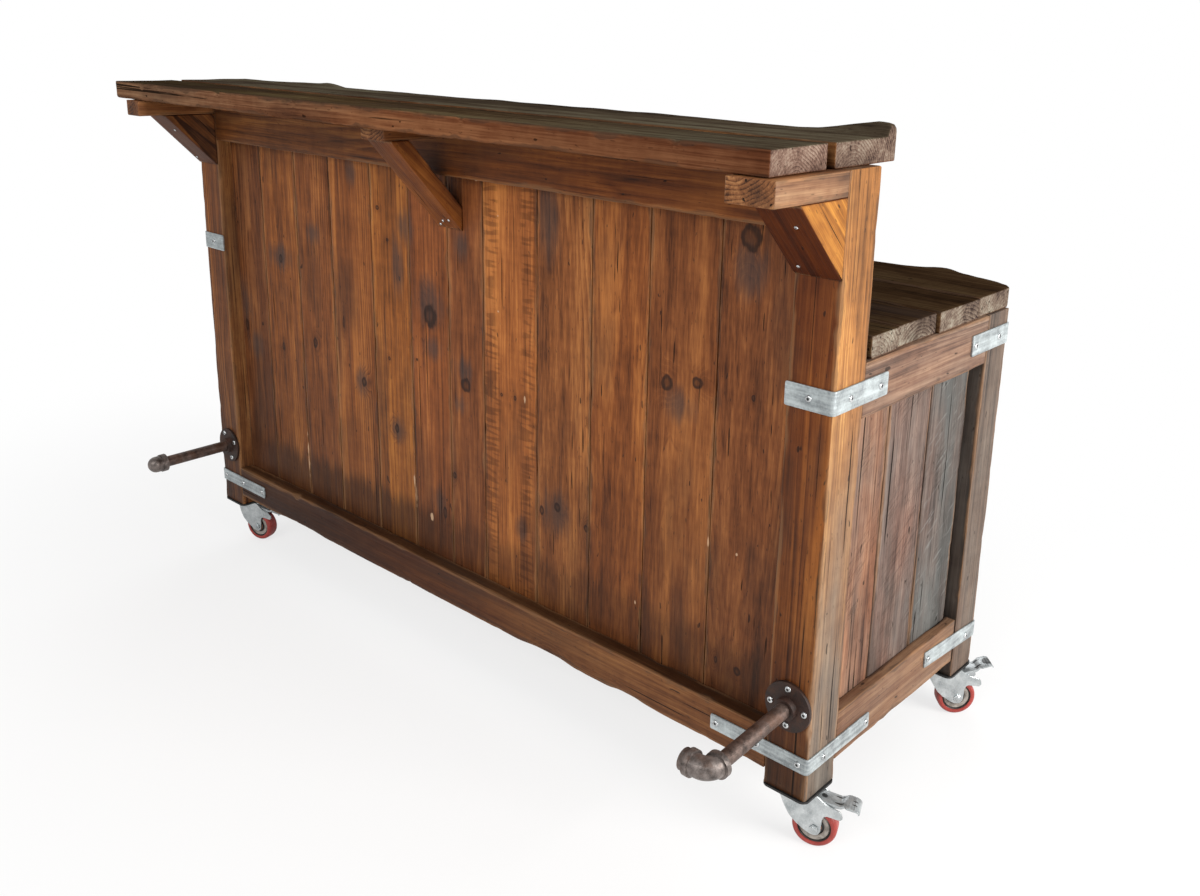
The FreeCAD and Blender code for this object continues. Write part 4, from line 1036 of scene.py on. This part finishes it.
FRONT, RIGHT, BACK = -STRAP_T / 2, LENGTH + STRAP_T / 2, DEPTH + STRAP_T / 2
STRAPS = (  # node, height, the middle line's start, corner and end in plan, and its rise
    ("straps_upper_front", 40, (LENGTH - 88, FRONT), (RIGHT, FRONT), (RIGHT, 162), 0),
    ("straps_lower_front", 30, (LENGTH - 203, FRONT), (RIGHT, FRONT), (RIGHT, 198), 0),
    ("straps_upper_rear", 40, (RIGHT, DEPTH - 153), (RIGHT, BACK), (LENGTH - 88, BACK), 0),
    ("straps_lower_rear", 33, (RIGHT, DEPTH - 220), (RIGHT, BACK), (LENGTH - 88, BACK), 18))
for name, *shape in STRAPS:
    skin = Skin().add(strap(name, *shape, mirrored=False)).add(strap(name, *shape, mirrored=True))
    skin.finish("_bent", galvanised, "galvanised_steel", name)

# %% [markdown]
# ## Screws
# Pan head screws, turned on a lathe: each point of a profile goes round the screw's axis. The hollow in
# the middle is kept as a value, so the finish can paint shade in it.

# %% Turned pieces
HEAD = ((0.5, 1.3), (1.9, 1.5), (2.3, 2.7), (3.6, 3.0), (4.9, 2.5), (5.7, 1.5), (6.0, 0.4), (6.0, 0.0),
        (2.5, 0.0), (2.5, -8.0))
# PIT marks the rings of the head's hollow, where the finish paints shade.
PIT = np.array([1, 1, 0.6, 0, 0, 0, 0, 0, 0, 0])[:, None]
POST_MIDDLE, UPPER_Z, LOWER_Z, REAR_Z, SLANTED_Z = 43, 830.0, 185.0, 194.5, 211.5
KNEE_WIDTH, BRACE_WIDTH, BRACKET_SCREW = 86, 74, 0.55
FLANGE_R, FLANGE_FACE = 34, -6


def turned(profile, centre, axis, steps=24):
    """Rings of a turned shape: a profile point (radius, distance along the axis) goes round a circle."""
    axis = np.array(axis, float) / np.linalg.norm(axis)
    side = np.cross(axis, (0.3, 0.2, 1.0) if abs(axis[2]) < 0.9 else (1.0, 0.2, 0.1))
    side /= np.linalg.norm(side)
    up = np.cross(axis, side)
    t = np.linspace(0, 2 * math.pi, steps, endpoint=False)[None, :, None]
    r, d = (column[:, None, None] for column in np.array(profile, float).T)
    return np.array(centre, float) + axis * d + r * (side * np.cos(t) + up * np.sin(t))


def heads(name, places, size=1.0):
    """All the screws of one node, each from the place where its head meets the surface and its outward axis."""
    skin = Skin()
    for centre, axis in places:
        skin.add(turned(np.array(HEAD) * size, centre, axis), pit=PIT)
    skin.finish("_heads", screw_zinc, "zinc_steel", name, split=40)


def both(x, y, z, axis):
    """A place and its mirror image at the other end of the table."""
    return [((x, y, z), axis), ((LENGTH - x, y, z), (-axis[0], axis[1], axis[2]))]


print("a screw has", len(HEAD), "rings")

# %% [markdown]
# The screws sit where the straps, the knees, the brace and the flanges are fixed. On a slanted piece the
# place runs along the slant by a share of its length.

# %% Screws in place
spots = []
for x, z in ((POST_MIDDLE, UPPER_Z), (17, LOWER_Z), (101.5, LOWER_Z), (191, LOWER_Z)):
    spots += both(LENGTH - x, -STRAP_T, z, (0, -1, 0))
for y, z in ((46, UPPER_Z), (138, UPPER_Z), (46, LOWER_Z), (186, LOWER_Z), (DEPTH - 141, UPPER_Z),
             (DEPTH - 43.5, UPPER_Z), (DEPTH - 208, SLANTED_Z), (DEPTH - 43.5, REAR_Z)):
    spots += both(LENGTH + STRAP_T, y, z, (1, 0, 0))
for z in (UPPER_Z, REAR_Z):
    spots += both(LENGTH - POST_MIDDLE, DEPTH + STRAP_T, z, (0, 1, 0))
heads("strap_screws", spots)

spots = []
for name in ("knee_left", "knee_right"):
    low, high = bench(name)
    size = high[2] - low[2]
    for across, share in ((0.20, 0.13), (0.66, 0.70)):
        spots.append(((low[0] + across * KNEE_WIDTH, -share * size, high[2] - (1 - share) * size), (0, -1, -1)))
low, high = bench("middle_brace")
run = np.array([0, low[1] - high[1], high[2] - low[2]])
for across, share in ((0.22, 0.055), (0.46, 0.105), (0.76, 0.125)):
    spots.append(((low[0] + across * BRACE_WIDTH, high[1] + share * run[1], low[2] + share * run[2]),
                  (0, -run[2], run[1])))
heads("bracket_screws", spots, BRACKET_SCREW)

spots = []
for x, z, first in ((POST_MIDDLE, 278.0, 25), (LENGTH - POST_MIDDLE, 285.5, 0)):
    for angle in np.radians(first + 90 * np.arange(4)):
        spot = (x + FLANGE_R * math.cos(angle), FLANGE_FACE, z + FLANGE_R * math.sin(angle))
        spots.append((spot, (0, -1, 0)))
heads("flange_screws", spots)

# %% [markdown]
# ## Wheels
# A wheel is turned too: a red tyre with rounded shoulders, then seen from the side a pale ring, a black
# groove and a hub. The ring's colour comes from how far each point is from the axle.


# %% Wheels
def both_halves(*half):
    """A profile from the points on one side of its middle: the same radii follow at the opposite distances."""
    return half + tuple((radius, -away) for radius, away in half[::-1])


TYRE = both_halves((30, -15.5), (33, -16), (36.2, -15.6), (38.6, -13.6), (39.8, -10.5), (40, -6)) + ((30, 0),)
CORE = both_halves((5.1, -16.6), (10.5, -16.6), (11.8, -16.0), (12.6, -14.6), (13.2, -11), (17, -10.2),
                   (17.8, -12.2), (19, -13.2), (25.5, -13.6), (26.6, -12.6), (27.4, -11), (28.4, -11.5),
                   (29.2, -13.6), (29.9, -14))
GROOVE, RING, SEAM, DULL = (0.012, 0.011, 0.011), (0.30, 0.27, 0.24), (0.02, 0.015, 0.013), (0.5, 0.47, 0.45)
HUB_EDGE, RING_EDGE, SEAM_EDGE = (12.6, 13.1), (17.2, 17.8), (26.8, 27.4)  # radii between which each starts
CORE_RELIEF = 0.0005


def core_material(name, hub):
    """Wheel core: a hub colour near the axle, a black groove, a pale ring and a dark seam under the tyre."""
    material, shader, where = new_material(name)
    reach = where.kept("reach")
    cloud = where.cloud((70.0,), 3.0, 0.6)
    colour = reach.step(*HUB_EDGE).blend(shell(hub), shell(GROOVE))
    colour = colour.tinted(reach.step(*RING_EDGE), RING).tinted(reach.step(*SEAM_EDGE), SEAM)
    colour = (0.5 + cloud * 2.5).step(0.30, 0.9).blend(colour, colour.over(shell(DULL)))
    dress(shader, colour, 0.42 + cloud * 0.5, cloud, 0.2, CORE_RELIEF)
    return material


tyre = metal("red_tyre", (0.22, 0.022, 0.016), (0.36, 0.045, 0.034), 0.35, 40.0, metallic=0.0, bump=0.1)
cores = {"f": core_material("front_core", (0.30, 0.14, 0.075)),
         "r": core_material("rear_core", (0.34, 0.32, 0.30))}
joints = {j["name"]: j for j in frame["record"]["behaviour"]["joints"]}
casters = {}
for key in ("fl", "fr", "rl", "rr"):
    roll = joints["roll_" + key]
    axle, across = casters[key] = measured(roll["pos_m"]), np.array(roll["axis"], float)
    for name, profile, steps, ending, finish, slot, split in (
            ("caster_tyre_", TYRE, 64, "_red", tyre, "red_tyre", 60),
            ("caster_core_", CORE, 48, "_rings", cores[key[0]], "wheel_core", 40)):
        kept = {"reach": np.array(profile)[:, :1]} if profile is CORE else {}
        Skin().add(turned(profile, axle, across, steps), loop=True, **kept).finish(
            ending, finish, slot, name + key, body="wheel_" + key, split=split)
print("casters", {key: value[0].round(1).tolist() for key, value in casters.items()})

# %% [markdown]
# ## Forks
# A fork is one pressed sheet, bent like a U round its nose, and two of its edges make its shape: the foot
# runs down to the axle, round the hub and over the wheel, the top runs level and falls away along the arm.
# A crown with a hole for the kingpin closes the U, and a bolt with two nuts is the axle.

# %% Forks
FORK_HALF, FORK_NOSE, FORK_BOW, FORK_HEEL, FORK_EASE, FORK_STEP = 18.5, 24.5, -8.0, 34.0, 0.6, 2.5
FORK_TOP = ((-33, 107.7), (34, 107.7), (40, 105.5), (48, 98.5), (57, 92.5), (70, 88), (79, 85), (82.5, 81),
            (84, 75))
FORK_FOOT = ((-33, 101), (-20, 76), (-8, 56), (4, 44), (16, 35.5), (25, 30), (31, 27.5), (36, 27), (41, 27.5),
             (45.5, 31), (48.2, 38), (49.0, 60), (51.5, 67), (57, 70), (70, 68.5), (80, 67.5), (84, 71))
FORK_CORNERS = (FORK_HEEL, 48.2, 48.6, 49.0, 80, 82.5, 84)  # stations where the edges turn sharply
FORK_SHEET = np.array([-1.5, -0.9, 0.9, 1.5])
CROWN, KINGPIN_R = (104.7, 107.4), 6.3
BOLT = both_halves((0.5, -24), (4.2, -23.9), (5, -23.3))
NUT = ((4.6, 20), (7.8, 20), (8.5, 20.6), (8.5, 22.2), (7.8, 22.8), (4.6, 22.8))


def fork_line():
    """Plan of the U and its outward direction: straight cheeks joined by half an ellipse."""
    x = np.unique(np.concatenate([np.arange(FORK_BOW, 82, FORK_STEP), FORK_CORNERS]))
    cheek = np.stack([x, np.full(len(x), FORK_HALF)], 1)
    t = np.linspace(-math.pi / 2, math.pi / 2, 26)[1:-1]
    bow = np.stack([FORK_BOW - FORK_NOSE * np.cos(t), FORK_HALF * np.sin(t)], 1)
    out = np.stack([-np.cos(t) / FORK_NOSE, np.sin(t) / FORK_HALF], 1)
    out /= np.linalg.norm(out, axis=1)[:, None]
    aside = np.broadcast_to((0.0, 1.0), cheek.shape)
    return np.concatenate([(cheek * (1, -1))[::-1], bow, cheek]), np.concatenate([-aside, out, aside])


def fork_skin(swivel, across):
    """The wall has eight points at each station: its thickness lies along the outward direction, and its
    height goes from the foot table to the top table. The crown goes round its hole as a loop of four rings."""
    line, out = fork_line()
    foot, top = (np.interp(line[:, 0], *np.transpose(table))[:, None] for table in (FORK_FOOT, FORK_TOP))
    ease = np.array([FORK_EASE, 0, 0, FORK_EASE])
    thick = np.concatenate([FORK_SHEET, FORK_SHEET[::-1]])[None, :, None]
    wall = np.concatenate([line[:, None] + out[:, None] * thick,
                           np.concatenate([foot + ease, top - ease], 1)[..., None]], 2)
    back = np.stack([np.full(7, FORK_HEEL), np.linspace(FORK_HALF, -FORK_HALF, 9)[1:-1]], 1)
    outer = np.concatenate([line[line[:, 0] <= FORK_HEEL], back])
    inner = outer * KINGPIN_R / np.linalg.norm(outer, axis=1)[:, None]
    edges = zip((outer, outer, inner, inner), CROWN + CROWN[::-1])
    crown = np.stack([np.insert(edge, 2, z, axis=1) for edge, z in edges])
    turn = np.stack([np.cross(across, (0, 0, 1)), across, (0, 0, 1)])
    return Skin().add(swivel + wall @ turn).add(swivel + crown @ turn, loop=True)


for key, (axle, across) in casters.items():
    swivel = measured(joints["swivel_" + key]["pos_m"]) * (1, 1, 0)
    skin = fork_skin(swivel, across).add(turned(BOLT, axle, across))
    for outward in (across, -across):
        skin.add(turned(NUT, axle, outward, 6), loop=True)
    skin.finish("_pressed", zinc, "zinc_steel", "caster_fork_" + key, body="swivel_" + key, split=40)

# %% [markdown]
# ## Brake pedals
# Each pedal is one pressed sheet: its top runs level, steps up and rolls over at the nose, and its two sides
# are folded down. A section like an upside-down U is carried along that line, wide at the pin, narrow at the
# step. Its slots are painted shade, dark ovals on the sheet, and the rear pedals have a black grip. These
# marks are placed along and across each pedal, measured from the axle of its own wheel.

# %% Brake pedal
PEDAL_LINE = ((-13, 14.0), (8, 11.0), (30, 7.8), (35, 7.2), (39, 10.2), (43, 10.8), (52, 9.4), (61, 7.8),
              (65.5, 6.2), (67.8, 3.2), (68.2, 0.2))
PEDAL_HALF = ((-13, 16.5), (33, 16.5), (41, 15.5), (46, 19.5), (62, 20.0), (66, 19.0), (68.2, 16.5))
PEDAL_LIP = ((-13, 8.5), (18, 8.5), (30, 5.5), (40, 4.5), (56, 3.5), (62, 2.6), (68.2, 2.4))
PEDAL_RAISE = {"f": 0.0, "r": 22.0}  # degrees
PEDAL_STATIONS, NOSE, SHEET, FOLD = 72, 66, 2.2, 1.6
RIBS, RIB_HIGH, RIB_HALF = (50, 54.5, 59), 0.7, 1.1
PIN = both_halves((1.0, -20.0), (4.2, -19.8), (4.6, -19.2), (4.4, -18.6), (3, -18.4))
# Each slot is painted as a dark oval, the shade inside a hole; the grip is a black pad.
SLOTS = ((0.0125, 0, 0.0055, 0.0055), (0.040, -0.009, 0.0085, 0.0022), (0.040, 0.009, 0.0085, 0.0022),
         (0.066, -0.005, 0.0045, 0.0016), (0.066, 0.005, 0.0045, 0.0016))  # place and two radii, in metres
GRIP = {"f": (), "r": ((0.062, 0, 0.011, 0.012),)}
ARC = FOLD * (1 - math.sqrt(0.5))
SECTION = np.array((  # each point: half widths and millimetres across, then lips and millimetres up
    (-1, 0, -1, 0), (-1, 0, 0, -FOLD), (-1, ARC, 0, -ARC), (-1, FOLD, 0, 0),
    (1, -FOLD, 0, 0), (1, -ARC, 0, -ARC), (1, 0, 0, -FOLD), (1, 0, -1, 0),
    (1, -SHEET, -1, 0), (1, -SHEET, 0, -SHEET), (-1, SHEET, 0, -SHEET), (-1, SHEET, -1, 0))).T


def pedal_marks(axle, across, marks):
    """Mask of the slots' painted shade and of the black grip: along and across are dot products with the
    pedal's own directions.
    """
    ahead = np.cross(across, (0, 0, 1))
    centre = axle / 1000 + CORNER

    def mask(where):
        along, aside = (where.vector("DOT_PRODUCT", tuple(way), out=1) - float(way.dot(centre))
                        for way in (ahead, across))
        ovals = [((along - a) / ra, (aside - s) / rs) for a, s, ra, rs in marks]
        return (1 - least([u * u + v * v for u, v in ovals]).step(0.75, 1.15)) * 0.92

    return mask


def pedal_rings(pin, across, raised):
    """Rings of the U section: stations spread evenly along the smoothed line, then turned up about the pin."""
    line = np.array(PEDAL_LINE, float)
    run = np.concatenate([[0], np.cumsum(np.hypot(*np.diff(line, axis=0).T))])
    t = np.linspace(0, run[-1], PEDAL_STATIONS)
    x, z = (np.interp(t, run, column) for column in line.T)
    x[2:-2], z[2:-2] = (np.convolve(v, np.ones(5) / 5, "valid") for v in (x, z))
    z = z + sum(RIB_HIGH * np.exp(-((x - spot) / RIB_HALF) ** 2) for spot in RIBS)
    flat = np.minimum(x, NOSE)
    half, lip = (np.interp(flat, *np.transpose(table))[:, None] for table in (PEDAL_HALF, PEDAL_LIP))
    lean = np.stack([-np.gradient(z), np.gradient(x)])
    lean /= np.linalg.norm(lean, axis=0)
    halves, across_mm, lips, up_mm = SECTION
    u, v = half * halves + across_mm, lip * lips + up_mm
    x, z = x[:, None] + lean[0][:, None] * v, z[:, None] + lean[1][:, None] * v
    turn = math.radians(raised)
    x, z = x * math.cos(turn) - z * math.sin(turn), x * math.sin(turn) + z * math.cos(turn)
    ahead = np.cross(across, (0, 0, 1))
    return pin + x[..., None] * ahead + u[..., None] * across + z[..., None] * np.array([0, 0, 1.0])


print("pedal section", SECTION.shape[1], "points")

# %% [markdown]
# A sheet and its pin are one object. Each pedal has a finish of its own, because its marks are measured
# from its own wheel.

# %% Pedals in place
for key, (axle, across) in casters.items():
    marks = pedal_marks(axle, across, SLOTS + GRIP[key[0]])
    sheet = metal("pedal_zinc_" + key, (0.24, 0.26, 0.27), (0.50, 0.53, 0.54), 0.34, 50.0, mask=marks,
                  metallic=0.6)
    pin = measured(joints["brake_" + key]["pos_m"])
    skin = Skin().add(pedal_rings(pin, across, PEDAL_RAISE[key[0]])).add(turned(PIN, pin, across))
    skin.finish("_sheet", sheet, "zinc_steel", "caster_pedal_" + key, body="pedal_" + key, split=40)

# %% [markdown]
# ## The rest
# Pipes, elbows, caps, flanges and caster plates keep their CAD shape. They only get a finish, and a small
# bevel where a cast or stamped edge would be soft.

# %% Finishes for the CAD nodes
FINISHES = (("caster_screws", zinc), ("caster_plates", black), ("elbow_", elbow_iron), ("cap_", elbow_iron),
            ("flange_left", flange_iron), ("flange_right", flange_iron), ("pipe_", iron))
SOFTENED = ("caster_plates", "elbow_", "flange_left", "flange_right")
WELD, BEVEL, BEVEL_FROM = 0.00002, 0.0007, math.radians(50)
for name, node in frame["nodes"].items():
    for start, finish in FINISHES:
        if name.startswith(start):
            if not node.material_slots:
                node.data.materials.append(finish)
            for each in node.material_slots:
                each.material = finish
    if name.startswith(SOFTENED):
        node.modifiers.new("weld", "WELD").merge_threshold = WELD
        ease = node.modifiers.new("ease", "BEVEL")
        ease.width, ease.segments, ease.limit_method, ease.angle_limit = BEVEL, 2, "ANGLE", BEVEL_FROM
print("metal finishes set")

# %% [markdown]
# ## Studio
# A pale floor and soft light. Away from the table the floor glows white to meet the white backdrop,
# and near it the floor only takes the table's soft shadow.

# %% Floor and light
FLOOR_HALF, FLOOR_GREY = 40, 0.84
GLOW_NEAR, GLOW_MORE, GLOW_FADE = 0.70, 0.30, (0.9, 2.2)  # share of the glow, and radii where it grows
SKY_SEEN, SKY_LIT = 0.45, 0.55
LAMPS = (  # name, place, aim, size, power and colour
    ("right_light", (5.2, 0.6, 2.3), (0.6, 0, 0.7), (3.0, 3.0), 330, (1.0, 0.98, 0.95)),
    ("front_light", (1.0, -5.2, 3.9), (0, 0, 0.7), (4.0, 2.5), 165, (1.0, 0.99, 0.97)),
    ("back_light", (-2.5, 4.5, 3.2), (0, 0, 0.8), (4.0, 3.0), 90, (1, 1, 1)))

mesh = bpy.data.meshes.new("floor")
mesh.from_pydata([(x * FLOOR_HALF, y * FLOOR_HALF, 0) for x, y in ((-1, -1), (1, -1), (1, 1), (-1, 1))], [],
                 [(0, 1, 2, 3)])
floor = add_piece("floor", mesh)
material, shader, where = new_material("pale_floor")
shader.inputs["Base Color"].default_value = shell((FLOOR_GREY,) * 3)
shader.inputs["Roughness"].default_value = 0.9
shader.inputs["Specular IOR Level"].default_value = 0.05
away = where.stretch(0.85, 1.25, 0.0).vector("LENGTH", out=1)
seen = where.node("ShaderNodeLightPath") * (GLOW_NEAR + away.step(*GLOW_FADE) * GLOW_MORE)
glow = where.node("ShaderNodeEmission", sockets={0: (1, 1, 1, 1), 1: 1.0})
mixed = where.node("ShaderNodeMixShader", sockets={0: seen, 1: Value(where.tree, shader.outputs[0]), 2: glow})
output = next(n for n in where.tree.nodes if n.type == "OUTPUT_MATERIAL")
where.tree.links.new(mixed.socket, output.inputs[0])
mesh.materials.append(material)
floor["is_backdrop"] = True

world = bpy.data.worlds.new("studio")
bpy.context.scene.world = world
world.use_nodes = True
tree = world.node_tree
back = next(n for n in tree.nodes if n.type == "BACKGROUND")
path = Value(tree).node("ShaderNodeLightPath")
strength = path.math("MAXIMUM", path.output("Is Transmission Ray")) * SKY_SEEN + SKY_LIT
back.inputs[0].default_value = (1, 1, 1, 1)
tree.links.new(strength.socket, back.inputs[1])

for name, spot, aim, size, power, colour in LAMPS:
    data = bpy.data.lights.new(name, "AREA")
    data.shape, data.energy, data.color = "RECTANGLE", power, colour
    data.size, data.size_y = size
    lamp = add_piece(name, data)
    lamp.location = spot
    lamp.rotation_euler = (Vector(aim) - Vector(spot)).to_track_quat("-Z", "Y").to_euler()
bpy.context.scene.view_settings.view_transform = "Standard"
print("lamps", len(LAMPS))

# %% [markdown]
# ## Camera
# It stands where the photographer stood: at eye height, to the right of the table, looking slightly down.
# The focal length and the middle of the lens are in pixels of a picture 1200 wide and 896 high.

# %% Camera
YAW, PITCH, ROLL = math.radians(41.0), math.radians(15.5), math.radians(1.4)
FOCAL, MIDDLE, PICTURE, SENSOR = 1140.4, (636.4, 343.5), (1200, 896), 36
ahead = Vector((-math.sin(YAW) * math.cos(PITCH), math.cos(YAW) * math.cos(PITCH), -math.sin(PITCH)))
right = ahead.cross(Vector((0, 0, 1))).normalized()
up = right.cross(ahead)
right, up = right * math.cos(ROLL) + up * math.sin(ROLL), up * math.cos(ROLL) - right * math.sin(ROLL)
data = bpy.data.cameras.new("camera")
data.lens = SENSOR * FOCAL / PICTURE[0]
data.shift_x = (PICTURE[0] / 2 - MIDDLE[0]) / PICTURE[0]
data.shift_y = (MIDDLE[1] - PICTURE[1] / 2) / PICTURE[0]
camera = add_piece("camera", data)
turn = Matrix((right, up, -ahead)).transposed().to_4x4()
camera.matrix_world = Matrix.Translation(Vector(place(2737, -1453, 1380))) @ turn
bpy.context.scene.camera = camera
print("camera at", tuple(round(v, 3) for v in camera.location), "lens", round(data.lens, 2))

low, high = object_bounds()
({"cad": [list(map(float, cad_low)), list(map(float, cad_high))],
           "visual": [list(map(float, low)), list(map(float, high))]})
print("visual box", [round(float(v), 4) for v in low], [round(float(v), 4) for v in high])
